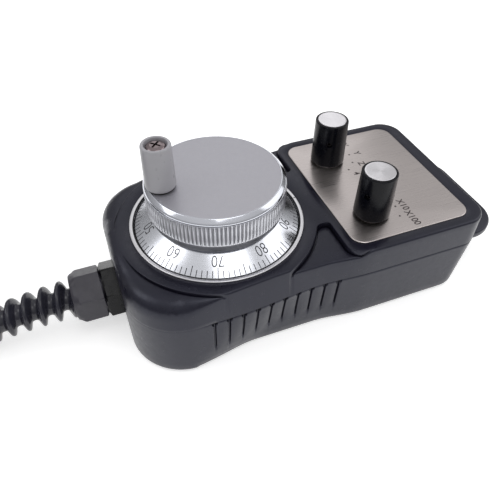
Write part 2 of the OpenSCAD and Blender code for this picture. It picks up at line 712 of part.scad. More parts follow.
// Closed ring of rings: outer surface out, inner surface back
module hollow_loft(rings) {
    n = len(rings[0]);
    m = len(rings);
    polyhedron(
        points = [for (r = rings) each r],
        faces = [for (k = [0:m - 1]) for (j = [0:n - 1])
            let (a = k * n + j, b = k * n + (j + 1) % n,
                c = ((k + 1) % m) * n + (j + 1) % n, d = ((k + 1) % m) * n + j)
            each [[a, b, c], [a, c, d]]]);
}
module spiral_guard() {
    sides = 24;
    step = guard_pitch / 9;
    outer = [for (s = concat([0], [for (t = [guard_seat:step:guard_l]) t], [guard_l]))
        guard_ring(s, sides, [for (j = [0:sides - 1]) guard_radius(s, 360 * j / sides)])];
    inner = [for (s = [guard_l:-6:0]) guard_ring(s, sides, [for (j = [0:sides - 1]) guard_bore])];
    color([0.13, 0.13, 0.17]) hollow_loft(concat(outer, inner));
}

// ---- cable ---------------------------------------------------------------------------
turn_gap = cord_d + 0.1;
coil_x = -166;
coil_y = coil_r + turn_gap;
coil_h = 29.2;
// The plug lies on the coil
plug_ring_r = 10.8;
plug_x = coil_x - coil_r;
plug_y = coil_y - 8;
plug_z = coil_h + plug_ring_r + 0.3;
// The cable's route out of the gland, down to the surface and to the coil
CORD_ROUTE = [[-40, 0, gland_z], [-56, 0, gland_z], [-70, 0, gland_z], [-85, 0, 17.8], [-100, 0, 16],
    [-115, 0, 13.1], [-128, 0, 9.6], [-139, 0, 6.4], [-147, 0, 4.7]];
// From the south of the coil over its top and into the plug, measured from the coil's centre
OVER_COIL = [[0, -40, 32.4], [-10, -40, 32.5], [-21.5, -37.7, 32.9], [-31.2, -31.2, 35],
    [-37.7, -21.5, 38.2], [-40, -11, plug_z], [-40, -4, plug_z], [-40, 2, plug_z]];
TAIL_ROUTE = [for (p = OVER_COIL) [coil_x + p.x, coil_y + p.y, p.z]];

function unit(v) = v / norm(v);
function heading(path, k) =
    unit(path[min(k + 1, len(path) - 1)] - path[max(k - 1, 0)]);
module tube_along(path, r, sides) {
    loft([for (k = [0:len(path) - 1])
        let (d = heading(path, k), side = unit(cross(d, [0, 0, 1])), up = cross(side, d))
        [for (j = [0:sides - 1]) let (a = -360 * j / sides)
            path[k] + r * (cos(a) * side + sin(a) * up)]]);
}
module cord() { color([0.08, 0.08, 0.08]) tube_along(CORD_ROUTE, cord_r, 12); }
module cord_tail() { color([0.08, 0.08, 0.08]) tube_along(TAIL_ROUTE, cord_r, 12); }
module cord_coil() {
    half_w = turn_gap + cord_r;
    color([0.08, 0.08, 0.08]) translate([coil_x, coil_y, 0]) rotate_extrude()
        translate([coil_r - half_w, 0]) square([2 * half_w, coil_h]);
}

// ---- plug ----------------------------------------------------------------------------
neck_r = 7.5;
barrel_r = 9;
insert_r = 7;
module along_plug(y) {
    translate([plug_x, y, plug_z]) rotate([-90, 0, 0]) children();
}
module plug_clamp() {
    color([0.3, 0.3, 0.3]) along_plug(plug_y) difference() {
        union() {
            cylinder(r1 = 6.2, r2 = 7, h = 4);
            translate([0, 0, 4]) hexagon(15, 7);
        }
        translate([0, 0, -past]) cylinder(r = cord_r + 0.15, h = 20);
    }
}
module plug_shell() {
    color([0.7, 0.7, 0.7]) along_plug(plug_y + 11) difference() {
        rotate_extrude() polygon([
            [cord_r + 0.3, 0], [8.2, 0], [9.5, 2], [9.5, 19], [neck_r, 19], [neck_r, 22.6],
            [barrel_r, 22.6], [barrel_r, 33], [cord_r + 0.3, 33]]);
        translate([0, 0, 24]) cylinder(r = insert_r, h = 20);
    }
}
module plug_insert() {
    color([0.12, 0.12, 0.12]) along_plug(plug_y + 35) difference() {
        cylinder(r = insert_r, h = 7.5);
        for (i = [0:9]) rotate(i * 36) translate([4.8, 0, 4]) cylinder(r = 0.7, h = 6, $fn = 24);
        for (i = [0:2]) rotate(i * 120) translate([1.8, 0, 4]) cylinder(r = 0.7, h = 6, $fn = 24);
    }
}
module plug_ring() {
    ring_r = plug_ring_r;
    color([0.75, 0.75, 0.76]) along_plug(plug_y + 30.2) difference() {
        rotate_extrude() polygon([
            [neck_r + running_gap, 0], [ring_r - 0.6, 0], [ring_r, 0.6], [ring_r, 11.4], [ring_r - 0.6, 12],
            [ring_r - 0.6, 16], [barrel_r + 0.5, 16], [barrel_r + 0.5, 3], [neck_r + running_gap, 3]]);
        for (a = [0:15:345]) rotate(a) translate([ring_r + 0.3, 0, 1.5]) cylinder(r = 0.7, h = 8.5, $fn = 16);
    }
}

top_shell();
bottom_shell();
housing_gasket();
housing_screws();
panel_plate();
encoder_flange();
flange_screws();
encoder_can();
encoder_board();
optical_sensor();
encoder_terminals();
detent_spring();
bearing_outer_races();
bearing_inner_races();
bearing_balls();
spindle();
code_disc();
detent_wheel();
dial_ring();
dial_screws();
handwheel();
wheel_cover();
wheel_screw();
crank_washer();
crank_pin();
crank_grip();
axis_knob();
axis_knob_cap();
axis_knob_grub();
axis_switch_shaft();
axis_switch_body();
axis_switch_washer();
axis_switch_nut();
rate_knob();
rate_knob_cap();
rate_knob_grub();
rate_switch_shaft();
rate_switch_body();
rate_switch_washer();
rate_switch_nut();
interface_board();
board_standoffs();
board_screws();
terminal_block();
gland_body();
gland_locknut();
gland_seal();
gland_nut();
spiral_guard();
cord();
cord_coil();
cord_tail();
plug_clamp();
plug_shell();
plug_insert();
plug_ring();
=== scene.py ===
"""The looks of a hand-held control pendant with a pulse generator handwheel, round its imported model.

Lengths are in millimetres up to the meshes, which are in metres. The frame is the model's own:
+Z up, the origin under the handwheel's axis, +X towards the selector panel.
"""

import json
import math

import bmesh
import bpy
import numpy as np
from mathutils import Matrix, Vector
from mathutils.geometry import delaunay_2d_cdt


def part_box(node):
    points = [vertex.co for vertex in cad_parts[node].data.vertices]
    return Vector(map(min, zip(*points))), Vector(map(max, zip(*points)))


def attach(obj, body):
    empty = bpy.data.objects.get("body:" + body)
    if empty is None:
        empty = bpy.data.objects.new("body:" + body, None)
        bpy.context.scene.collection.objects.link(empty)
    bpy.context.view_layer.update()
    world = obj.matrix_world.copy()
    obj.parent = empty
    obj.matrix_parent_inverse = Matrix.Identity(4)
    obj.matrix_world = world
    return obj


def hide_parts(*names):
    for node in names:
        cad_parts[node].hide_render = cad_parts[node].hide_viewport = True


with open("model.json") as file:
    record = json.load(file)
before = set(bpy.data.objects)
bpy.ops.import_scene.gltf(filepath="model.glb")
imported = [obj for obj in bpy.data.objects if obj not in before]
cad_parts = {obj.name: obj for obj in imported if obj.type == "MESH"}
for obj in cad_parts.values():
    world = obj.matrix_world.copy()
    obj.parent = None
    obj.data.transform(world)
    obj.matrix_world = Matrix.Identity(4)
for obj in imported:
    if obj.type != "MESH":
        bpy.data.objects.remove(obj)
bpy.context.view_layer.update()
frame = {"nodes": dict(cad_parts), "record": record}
MM = 0.001


# ---- sizes read from the frame -------------------------------------------------------------
def node_box(name):
    """Lowest and highest corner of a CAD node, in millimetres."""
    low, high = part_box(name)
    return np.array(low) / MM, np.array(high) / MM


def node_middle(name):
    low, high = node_box(name)
    return (low + high) / 2


def node_radius(name):
    """Half of a node's length in x."""
    low, high = node_box(name)
    return (high[0] - low[0]) / 2


TOP_LOW, TOP_HIGH = node_box("top_shell")
SPLIT, DECK = TOP_LOW[2], TOP_HIGH[2]
CABLE_END, PANEL_END = -TOP_LOW[0], TOP_HIGH[0]
# At its widest, at the joint, the shell stands this much outside its half width beside the wheel
DRAFT = 0.4
WHEEL_HALF = TOP_HIGH[1] - DRAFT
WALL = 2.6
# The floor of the lowered deck, and the deck's underside
PIT = DECK - 2.5
CEILING = PIT - 2.4
FLANGE_HIGH = node_box("encoder_flange")[1]
BEZEL_R, BEZEL_TOP = FLANGE_HIGH[0], FLANGE_HIGH[2]
DIAL_LOW, DIAL_HIGH = node_box("dial_ring")
DIAL_R, DIAL_FOOT = DIAL_HIGH[0], DIAL_LOW[2]
WHEEL_HIGH = node_box("handwheel")[1]
WHEEL_R, WHEEL_TOP = WHEEL_HIGH[0], WHEEL_HIGH[2]
GRIP_LOW, GRIP_HIGH = node_box("crank_grip")
GRIP_X, GRIP_R = node_middle("crank_grip")[0], node_radius("crank_grip")
PLATE_LOW, PLATE_HIGH = node_box("panel_plate")
KNOB_FOOT = node_box("axis_knob")[0][2]
KNOB_X, KNOB_Y = node_middle("axis_knob")[:2]
KNOB_R = node_radius("axis_knob")
GLAND_Z = node_middle("gland_nut")[2]
PLUG_Z = node_middle("plug_shell")[2]
COIL_X, COIL_Y = node_middle("cord_coil")[:2]
CORD_D = 7.0


# ---- camera --------------------------------------------------------------------------------
# Fitted to the photo's view of the bezel, the panel plate and the knobs
CAMERA_AT = Vector((-53.7, -173.8, 207.4)) * MM
CAMERA_FORWARD = Vector((0.2644, 0.6527, -0.7100))
CAMERA_RIGHT = Vector((0.9311, -0.3649, 0.0113))
SENSOR_WIDTH, FOCAL_LENGTH = 36, 37.87


def shown(name, data):
    """Adds an object to the scene."""
    made = bpy.data.objects.new(name, data)
    bpy.context.scene.collection.objects.link(made)
    return made


def make_camera():
    back = -CAMERA_FORWARD.normalized()
    up = back.cross(CAMERA_RIGHT).normalized()
    right = up.cross(back)
    data = bpy.data.cameras.new("camera")
    data.sensor_width = SENSOR_WIDTH
    data.lens = FOCAL_LENGTH
    data.clip_start = 0.01
    camera = shown("camera", data)
    camera.matrix_world = Matrix.Translation(CAMERA_AT) @ Matrix((right, up, back)).transposed().to_4x4()
    bpy.context.scene.camera = camera


make_camera()


# ---- meshes --------------------------------------------------------------------------------
def full_turn(count):
    """Angles evenly round a circle."""
    return np.arange(count) * 2 * math.pi / count


def lifted(points, z):
    """Flat points at a height."""
    return np.c_[points, np.broadcast_to(z, len(points))]


def polar(r, angle, z=None, centre=(0, 0)):
    """Points at a distance and angle from a vertical axis, flat where no height is given."""
    flat = np.c_[centre[0] + r * np.cos(angle), centre[1] + r * np.sin(angle)]
    return flat if z is None else lifted(flat, z)


def circle(radius, count=160, centre=(0, 0)):
    return polar(radius, full_turn(count), centre=centre)


def ease(t):
    """Runs from 0 to 1 as t does, with a soft start and end."""
    u = np.clip(t, 0, 1)
    return u * u * (3 - 2 * u)


def loop_edges(count, start=0):
    """The edges of a closed loop of points, the first of them numbered start."""
    return [(start + k, start + (k + 1) % count) for k in range(count)]


class Skin:
    """Points and faces of one piece, in millimetres."""

    def __init__(self):
        self.points = []
        self.faces = []

    def ring(self, points):
        start = len(self.points)
        self.points.extend(tuple(float(v) for v in p) for p in points)
        return list(range(start, len(self.points)))

    def strip(self, a, b, closed=True):
        """Quads between two rings of equal length."""
        n = len(a)
        for i in range(n if closed else n - 1):
            j = (i + 1) % n
            self.faces.append((a[i], a[j], b[j], b[i]))

    def rings(self, rings, closed=False):
        """Joins rings of points one after the other, and returns the first and the last."""
        made = [self.ring(r) for r in rings]
        for a, b in zip(made, made[1:] + made[:closed]):
            self.strip(a, b)
        return made[0], made[-1]

    def wall(self, loop, *heights):
        """Stands an outline upright between heights, and returns its first and last ring."""
        return self.rings([lifted(loop, z) for z in heights])

    def block(self, rings):
        """A solid of joined rings, closed at both ends."""
        low, high = self.rings(rings)
        self.faces += [tuple(reversed(low)), tuple(high)]

    def at(self, ring):
        return np.array([self.points[i] for i in ring])

    def fill(self, outer, holes=()):
        """Triangles over a flat region, from a ring round it and the rings of its holes."""
        rings = (outer, *holes)
        order = [i for ring in rings for i in ring]
        edges = []
        for ring in rings:
            edges += loop_edges(len(ring), len(edges))
        flat = self.at(order)[:, :2]
        verts, _, faces, ids, _, _ = delaunay_2d_cdt(
            [Vector(p) for p in flat], edges, [], 0, 1e-7, True)
        loops = [self.at(ring)[:, :2] for ring in rings]
        centres = np.array([np.mean([verts[i] for i in f], axis=0) for f in faces])
        keep = inside(centres, loops[0])
        for hole in loops[1:]:
            keep &= ~inside(centres, hole)
        for f, kept in zip(faces, keep):
            if kept:
                self.faces.append(tuple(order[ids[i][0]] for i in f))

    def mesh(self, name):
        """A mesh of it, in metres."""
        made = bpy.data.meshes.new(name)
        made.from_pydata([Vector(p) * MM for p in self.points], [], self.faces)
        return made


def inside(points, loop):
    """Which points lie inside a closed outline."""
    x, y = points[:, :1], points[:, 1:2]
    a, b = loop, np.roll(loop, -1, axis=0)
    crosses = (a[:, 1] > y) != (b[:, 1] > y)
    rise = np.where(b[:, 1] == a[:, 1], 1, b[:, 1] - a[:, 1])
    at = a[:, 0] + (y - a[:, 1]) * (b[:, 0] - a[:, 0]) / rise
    return (np.sum(crosses & (x < at), axis=1) % 2) == 1


def piece(name, skin, slot, body="housing", replaces=(), material=None, sharp=32, place=None):
    """Makes an object of a skin, shades it smooth up to the sharp angle and lets it ride.

    It takes its slot's material unless another one is given. Ink and paint have no slot.
    """
    mesh = skin.mesh(name)
    work = bmesh.new()
    work.from_mesh(mesh)
    bmesh.ops.remove_doubles(work, verts=work.verts, dist=1e-7)
    bmesh.ops.recalc_face_normals(work, faces=work.faces)
    work.to_mesh(mesh)
    work.free()
    if place is not None:
        mesh.transform(place)
    mesh.polygons.foreach_set("use_smooth", [True] * len(mesh.polygons))
    mesh.set_sharp_from_angle(angle=math.radians(sharp))
    mesh.materials.append(material or FINISHES[slot])
    made = shown(name, mesh)
    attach(made, body)
    if replaces:
        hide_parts(*replaces)
    return made


def softened(profile):
    """Profile points (r, z), where a third number rounds that corner over that length."""
    out = []
    for i, p in enumerate(profile):
        if len(p) < 3 or i in (0, len(profile) - 1):
            out.append(p[:2])
            continue
        here, before, after = (np.array(q[:2], float) for q in (p, profile[i - 1], profile[i + 1]))
        ends = []
        for other in (before, after):
            away = other - here
            length = np.linalg.norm(away)
            # Two rounded corners share the length between them
            ends.append(here + away / length * min(p[2], length * 0.48))
        for t in np.linspace(0, 1, 6):
            out.append((1 - t) ** 2 * ends[0] + 2 * t * (1 - t) * here + t * t * ends[1])
    return np.array(out, float)


def revolve(profile, count=128, centre=(0, 0), shape=None, closed=False):
    """A turned body. shape(angle, r, z) may change the radius round it. An end at r = 0 is a point."""
    skin = Skin()
    angle = full_turn(count)
    rings = []
    for r, z in softened(profile):
        if r < 1e-6:
            rings.append(skin.ring([(*centre, z)]))
            continue
        radius = r if shape is None else shape(angle, r, z)
        rings.append(skin.ring(polar(radius, angle, z, centre)))
    for a, b in zip(rings, rings[1:] + rings[:closed]):
        if len(a) == 1 or len(b) == 1:
            tip, rim = (a[0], b) if len(a) == 1 else (b[0], a)
            skin.faces += [(*edge, tip) for edge in zip(rim, rim[1:] + rim[:1])]
        else:
            skin.strip(a, b)
    return skin


# ---- materials -----------------------------------------------------------------------------
def colour(red, green, blue):
    """A colour as it looks on a screen, 0 to 255, made linear."""
    def linear(v):
        v /= 255
        return v / 12.92 if v <= 0.04045 else ((v + 0.055) / 1.055) ** 2.4
    return (linear(red), linear(green), linear(blue), 1)


def shade(base, share):
    """A lighter or darker copy of a colour."""
    return (*(min(1, c * share) for c in base[:3]), 1)


class Nodes:
    """Adds nodes to the tree of a material or of the world."""

    def __init__(self, tree):
        self.tree = tree

    def feed(self, node, values):
        """Fills sockets of a node: an output is linked to its socket, a constant is set."""
        for name, value in values.items():
            socket = node.inputs[name]
            if isinstance(value, bpy.types.NodeSocket):
                self.tree.links.new(value, socket)
            else:
                socket.default_value = value

    def node(self, kind, output, values=None, **settings):
        """Adds a node and returns one of its outputs."""
        made = self.tree.nodes.new("ShaderNode" + kind)
        for key, value in settings.items():
            setattr(made, key, value)
        self.feed(made, values or {})
        return made.outputs[output]

    def combined(self, operation, first, second):
        return self.node("Math", "Value", {0: first, 1: second}, operation=operation)


class Finish(Nodes):
    """A procedural material under construction. Its bump comes last and returns it."""

    def __init__(self, name, rough, metallic=0.0, sockets=None):
        self.material = bpy.data.materials.new(name)
        self.material.use_nodes = True
        super().__init__(self.material.node_tree)
        self.shader = self.tree.nodes["Principled BSDF"]
        self.feed(self.shader, {"Roughness": rough, "Metallic": metallic, **(sockets or {})})
        self.object_point = self.node("TexCoord", "Object")

    def mapped(self, **values):
        """The object's own coordinates, scaled or shifted."""
        return self.node("Mapping", "Vector", {"Vector": self.object_point, **values})

    def noise(self, scale, detail, vector=None):
        return self.node("TexNoise", "Fac", {"Scale": scale, "Detail": detail,
                                             "Vector": vector or self.object_point})

    def distance(self, centre=(0, 0)):
        """The distance from a vertical axis, in metres."""
        moved = self.mapped(Location=(-centre[0] * MM, -centre[1] * MM, 0))
        flat = self.node("VectorMath", "Vector", {0: moved, 1: (1, 1, 0)}, operation="MULTIPLY")
        return self.node("VectorMath", "Value", {0: flat}, operation="LENGTH")

    def around(self, centre, per_mm):
        """Noise that changes only with the distance from a vertical axis, as turning leaves it."""
        values = {"Scale": per_mm / MM, "Detail": 3, "W": self.distance(centre)}
        return self.node("TexNoise", "Fac", values, noise_dimensions="1D")

    def spread(self, value, low, high, start=0.3, stop=0.7):
        """Maps a noise value to a range."""
        return self.node("MapRange", "Result", {"Value": value, "From Min": start, "From Max": stop,
                                                "To Min": low, "To Max": high})

    def colours(self, value, first, second, start=0.3, stop=0.7):
        """The base colour runs from first to second with a noise value."""
        tone = self.node("ValToRGB", "Color", {"Fac": value})
        stops = zip(tone.node.color_ramp.elements, (start, stop), (first, second))
        for element, position, its_colour in stops:
            element.position = position
            element.color = its_colour
        self.feed(self.shader, {"Base Color": tone})

    def roughness(self, value, low, high):
        self.feed(self.shader, {"Roughness": self.spread(value, low, high)})

    def bump(self, value, depth_mm):
        relief = self.node("Bump", "Normal", {"Distance": depth_mm * MM, "Height": value})
        self.feed(self.shader, {"Normal": relief})
        return self.material


def moulded(name, base, rough, grain=0.012, contrast=0.12, sockets=None):
    """Moulded plastic: a fine spark texture, and slow changes of tone and gloss."""
    made = Finish(name, rough, sockets=sockets)
    made.colours(made.noise(90, 3), shade(base, 1 - contrast), shade(base, 1 + contrast))
    made.roughness(made.noise(400, 3), rough - 0.05, rough + 0.05)
    return made.bump(made.noise(2600, 3), grain)


def rubber(name, base, rough):
    """Rubber: dull, cloudy and finely rough."""
    made = Finish(name, rough, sockets={"Specular IOR Level": 0.35})
    made.colours(made.noise(250, 4), shade(base, 0.8), shade(base, 1.25))
    return made.bump(made.noise(1500, 4), 0.02)


def turned(name, base, rough, centre=(0, 0), per_mm=5.0, depth=0.0015, anisotropy=0.6, contrast=0.05):
    """Metal turned on a lathe: concentric marks and a highlight across them."""
    made = Finish(name, rough, 1.0, {"Anisotropic": anisotropy})
    lines = made.around(centre, per_mm)
    made.colours(lines, shade(base, 1 - contrast), shade(base, 1 + contrast))
    made.roughness(lines, rough - contrast, rough + contrast)
    made.feed(made.shader, {"Tangent": made.node("Tangent", "Tangent", direction_type="RADIAL", axis="Z")})
    return made.bump(lines, depth)


def brushed(name, base, rough, along, depth):
    """Metal brushed along one axis: long fine scratches."""
    made = Finish(name, rough, 1.0, {"Anisotropic": 0.5})
    scratches = made.noise(1, 4, made.mapped(Scale=along))
    made.colours(scratches, shade(base, 0.96), shade(base, 1.03))
    made.roughness(scratches, rough - 0.04, rough + 0.05)
    return made.bump(scratches, depth)


def plated(name, base, rough):
    """Plated or ground steel with faint cloudy wear."""
    made = Finish(name, rough, 1.0)
    cloud = made.noise(700, 5)
    made.colours(cloud, shade(base, 0.93), shade(base, 1.05))
    made.roughness(cloud, rough - 0.03, rough + 0.05)
    return made.bump(made.noise(3000, 2), 0.0006)


def blasted(name, base, rough):
    """Bead-blasted metal: an even matt surface of tiny pits."""
    made = Finish(name, rough, 1.0)
    grain = made.noise(2200, 2)
    made.colours(grain, shade(base, 0.97), shade(base, 1.03))
    made.roughness(made.noise(500, 2), rough - 0.03, rough + 0.03)
    return made.bump(grain, 0.004)


def painted_marks(name, base):
    """Ink or enamel that fills an engraving."""
    made = Finish(name, 0.5)
    made.colours(made.noise(900, 3), shade(base, 0.85), shade(base, 1.15))
    return made.bump(made.noise(2500, 2), 0.003)


def clear_disc(name):
    """Clear glass with the faintest tint and waviness."""
    made = Finish(name, 0.08, sockets={"Transmission Weight": 0.85, "IOR": 1.49})
    made.colours(made.noise(300, 2), colour(215, 228, 226), colour(232, 240, 238))
    return made.bump(made.noise(800, 2), 0.002)


# Slot: its maker, colour, roughness and the maker's other settings
FINISHES = {name: make(name, colour(*base), *settings) for name, (make, base, *settings) in {
    "shell_plastic": (moulded, (23, 22, 34), 0.32, 0.012, 0.12, {"Specular Tint": (0.82, 0.85, 1, 1)}),
    "rubber_black": (rubber, (30, 30, 31), 0.75),
    "zinc_screw": (plated, (190, 190, 188), 0.32),
    "plate_steel": (brushed, (206, 198, 196), 0.30, (60, 4500, 60), 0.0005),
    "aluminium": (turned, (205, 206, 210), 0.27),
    "can_paint": (moulded, (60, 60, 64), 0.45),
    "board_green": (moulded, (24, 82, 48), 0.35),
    "black_plastic": (moulded, (32, 32, 34), 0.45),
    "terminal_green": (moulded, (40, 120, 66), 0.4),
    "spring_steel": (plated, (200, 200, 204), 0.18),
    "brass": (plated, (205, 170, 110), 0.3),
    "grip_grey": (moulded, (172, 171, 176), 0.32, 0.003, 0.03),
    "knob_plastic": (moulded, (9, 10, 17), 0.24, 0.002, 0.12, {"Specular IOR Level": 0.2}),
    "spun_cap": (turned, (236, 234, 238), 0.22, (KNOB_X, KNOB_Y), 9, 0.003, 0.85),
    "gland_plastic": (moulded, (9, 9, 13), 0.25, 0.012, 0.12, {"Specular IOR Level": 0.2}),
    "nut_plastic": (moulded, (55, 53, 62), 0.42),
    "guard_plastic": (moulded, (46, 46, 56), 0.22, 0.004),
    "cable_jacket": (moulded, (30, 30, 32), 0.4, 0.01),
    "connector_metal": (plated, (186, 186, 188), 0.28),
}.items()}
FINISHES["code_glass"] = clear_disc("code_glass")
# Screws that are darker than the bright zinc of the rest
BLACKENED = plated("blackened_steel", colour(74, 70, 72), 0.35)
NICKEL = plated("dull_nickel", colour(140, 128, 130), 0.2)
SCREW_FINISHES = {"axis_knob_grub": BLACKENED, "rate_knob_grub": BLACKENED, "crank_pin": NICKEL}


def finish_cad_nodes():
    """Every CAD node takes the finish of its slot in the record."""
    slots = {s["node"]: s["material_slot"] for s in frame["record"]["subparts"]}
    for name, thing in frame["nodes"].items():
        thing.data.materials.clear()
        thing.data.materials.append(SCREW_FINISHES.get(name, FINISHES[slots[name]]))


finish_cad_nodes()


# ---- cable ---------------------------------------------------------------------------------
# The same route points as the model's cable: out of the gland and down to the coil, and, measured
# from the coil's centre, over the coil into the plug that lies on it
CORD_ROUTE = [(-40, 0, GLAND_Z), (-56, 0, GLAND_Z), (-70, 0, GLAND_Z), (-85, 0, 17.8), (-100, 0, 16),
              (-115, 0, 13.1), (-128, 0, 9.6), (-139, 0, 6.4), (-147, 0, 4.7)]
OVER_COIL = [(0, -40, 32.4), (-10, -40, 32.5), (-21.5, -37.7, 32.9), (-31.2, -31.2, 35),
             (-37.7, -21.5, 38.2), (-40, -11, PLUG_Z), (-40, -4, PLUG_Z), (-40, 2, PLUG_Z)]
TURN_GAP = CORD_D + 0.1
TIE_T = 0.6
COIL_COLUMNS, COIL_LAYERS = 3, 4
COIL_OUTER = node_radius("cord_coil") - CORD_D / 2
FIRST_LAYER = TIE_T + CORD_D / 2
TOP_LAYER = FIRST_LAYER + TURN_GAP * (COIL_LAYERS - 1)
# The share of a turn over which the cable steps to its next place in the coil
STEP_START, STEP_SPAN = 0.5, 0.36
# How far a climbing turn swings clear of the one that takes its place below
SWING = 3


def coil_points(per_turn=24):
    """Turns side by side, in and out again layer by layer, clockwise from the south point."""
    columns = [COIL_OUTER - TURN_GAP * c for c in range(COIL_COLUMNS)]
    places = []
    for layer in range(COIL_LAYERS):
        order = columns if layer % 2 == 0 else columns[::-1]
        places += [(r, FIRST_LAYER + TURN_GAP * layer) for r in order]
    # The last turn climbs onto the coil's top instead of filling the last place
    places[-1] = (columns[1], OVER_COIL[0][2])
    points = []
    for k, ((r, z), (next_r, next_z)) in enumerate(zip(places, places[1:])):
        swing = 0
        if next_z > z:
            swing = SWING if places[k - 1][0] < r else -SWING
        for s in range(per_turn):
            part = s / per_turn
            t = float(ease((part - STEP_START) / STEP_SPAN))
            radius = r + (next_r - r) * t + swing * math.sin(math.pi * t)
            angle = -math.pi / 2 - 2 * math.pi * part
            points.append((COIL_X + radius * math.cos(angle), COIL_Y + radius * math.sin(angle),
                           z + (next_z - z) * t))
    return points


def make_cord():
    over = [(COIL_X + x, COIL_Y + y, z) for x, y, z in OVER_COIL]
    points = CORD_ROUTE + coil_points() + over
    data = bpy.data.curves.new("cable", "CURVE")
    data.dimensions = "3D"
    data.bevel_depth = CORD_D / 2 * MM
    data.bevel_resolution = 4
    data.resolution_u = 4
    data.use_fill_caps = True
    spline = data.splines.new("BEZIER")
    spline.bezier_points.add(len(points) - 1)
    for knot, p in zip(spline.bezier_points, points):
        knot.co = Vector(p) * MM
        knot.handle_left_type = knot.handle_right_type = "AUTO"
    data.materials.append(FINISHES["cable_jacket"])
    cord = shown("cable", data)
    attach(cord, "housing")
    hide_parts("cord", "cord_coil", "cord_tail")
    return cord


TIE_WIDTH, TIE_GAP, TIE_AZIMUTH = 3.6, 0.02, 110
TIE_HEAD, TIE_HEAD_EDGE, TIE_HEAD_SHARE = (4.2, 6, 7), 0.6, 0.62


def coil_tie():
    """A flat band round the coil's section, with its locking head outside."""
    inner = COIL_OUTER - TURN_GAP * (COIL_COLUMNS - 1) - CORD_D / 2
    outer = COIL_OUTER + CORD_D / 2
    top = TOP_LAYER + CORD_D / 2
    corner = CORD_D / 2
    corners = [(outer - corner, TIE_T + corner, -90), (outer - corner, top - corner, 0),
               (inner + corner, top - corner, 90), (inner + corner, TIE_T + corner, 180)]

    def band(reach, y):
        """The outline round the section, this far outside it."""
        turns = [polar(corner + reach, np.radians(np.linspace(start, start + 90, 9)), centre=(r, z))
                 for r, z, start in corners]
        r, z = np.concatenate(turns).T
        return np.c_[r, np.full(len(r), y), z]

    section = ((TIE_GAP, -0.5), (TIE_T, -0.5), (TIE_T, 0.5), (TIE_GAP, 0.5))
    skin = Skin()
    skin.rings([band(reach, side * TIE_WIDTH) for reach, side in section], closed=True)
    head = Skin()
    length, width, height = TIE_HEAD
    rings = []
    for share, inset in ((-0.5, TIE_HEAD_EDGE), (-0.42, 0), (0.42, 0), (0.5, TIE_HEAD_EDGE)):
        x0, x1 = outer + TIE_T + inset * 0.5 - 0.4, outer + TIE_T + length - inset
        y1 = width / 2 - inset
        rings.append(lifted([(x0, -y1), (x1, -y1), (x1, y1), (x0, y1)],
                            top * TIE_HEAD_SHARE + share * height))
    head.block(rings)
    place = (Matrix.Translation(Vector((COIL_X, COIL_Y, 0)) * MM)
             @ Matrix.Rotation(math.radians(TIE_AZIMUTH), 4, "Z"))
    return [piece("coil_tie", skin, "black_plastic", place=place),
            piece("coil_tie_head", head, "black_plastic", place=place)]


GUARD_LENGTH, GUARD_PITCH, GUARD_BEND_R = 60, 7.1, 200
GUARD_SEAT, GUARD_ROOT_R, GUARD_CORE_R, GUARD_FIN_R, GUARD_TAPER = 1.8, 6.3, 4.8, 9.4, 0.007
GUARD_X0 = node_box("gland_nut")[0][0] + GUARD_SEAT
# The fin fades out over this length at the protector's end
GUARD_FADE = 8
# Across one pitch: share of the pitch, and share of the fin's height
FIN_AT = [0, 0.10, 0.19, 0.30, 0.37, 0.43, 0.5, 0.57, 0.63, 0.70, 0.81, 0.90, 1]
FIN_RISE = [0, 0.015, 0.10, 0.60, 0.86, 0.97, 1, 0.97, 0.86, 0.60, 0.10, 0.015, 0]


def guard_ring(s, radius):
    """Points round the drooping axis of the bend protector, s along it."""
    t = s / GUARD_BEND_R
    centre = np.array([GUARD_X0 - GUARD_BEND_R * math.sin(t), 0,
                       GLAND_Z - GUARD_BEND_R * (1 - math.cos(t))])
    a = full_turn(len(radius))
    return centre + radius[:, None] * np.c_[-math.sin(t) * np.sin(a), np.cos(a), math.cos(t) * np.sin(a)]


def spiral_guard(sides=72, per_pitch=28):
    """The finned spiral: a tapering core with one rounded fin winding round it."""
    a = np.arange(sides) / sides

    def radius(s):
        if s <= GUARD_SEAT:
            return np.full(sides, GUARD_ROOT_R)
        rise = np.interp(((s - GUARD_SEAT) / GUARD_PITCH - a) % 1, FIN_AT, FIN_RISE)
        tall = (GUARD_FIN_R - GUARD_CORE_R) * (1 - GUARD_TAPER * s) * ease((GUARD_LENGTH - s) / GUARD_FADE)
        return GUARD_CORE_R + tall * rise

    stops = np.r_[0, GUARD_SEAT, np.arange(GUARD_SEAT + 0.02, GUARD_LENGTH, GUARD_PITCH / per_pitch),
                  GUARD_LENGTH]
    bore = np.full(sides, CORD_D / 2 + 0.25)
    skin = Skin()
    skin.rings([guard_ring(s, radius(s)) for s in stops]
               + [guard_ring(s, bore) for s in np.linspace(GUARD_LENGTH, 0, 12)], closed=True)
    return piece("spiral_guard_fins", skin, "guard_plastic", replaces=["spiral_guard"], sharp=50)


cord = make_cord()
on_the_cord = [spiral_guard(), *coil_tie()]
on_the_cord += [frame["nodes"][n] for n in ("plug_clamp", "plug_shell", "plug_insert", "plug_ring")]


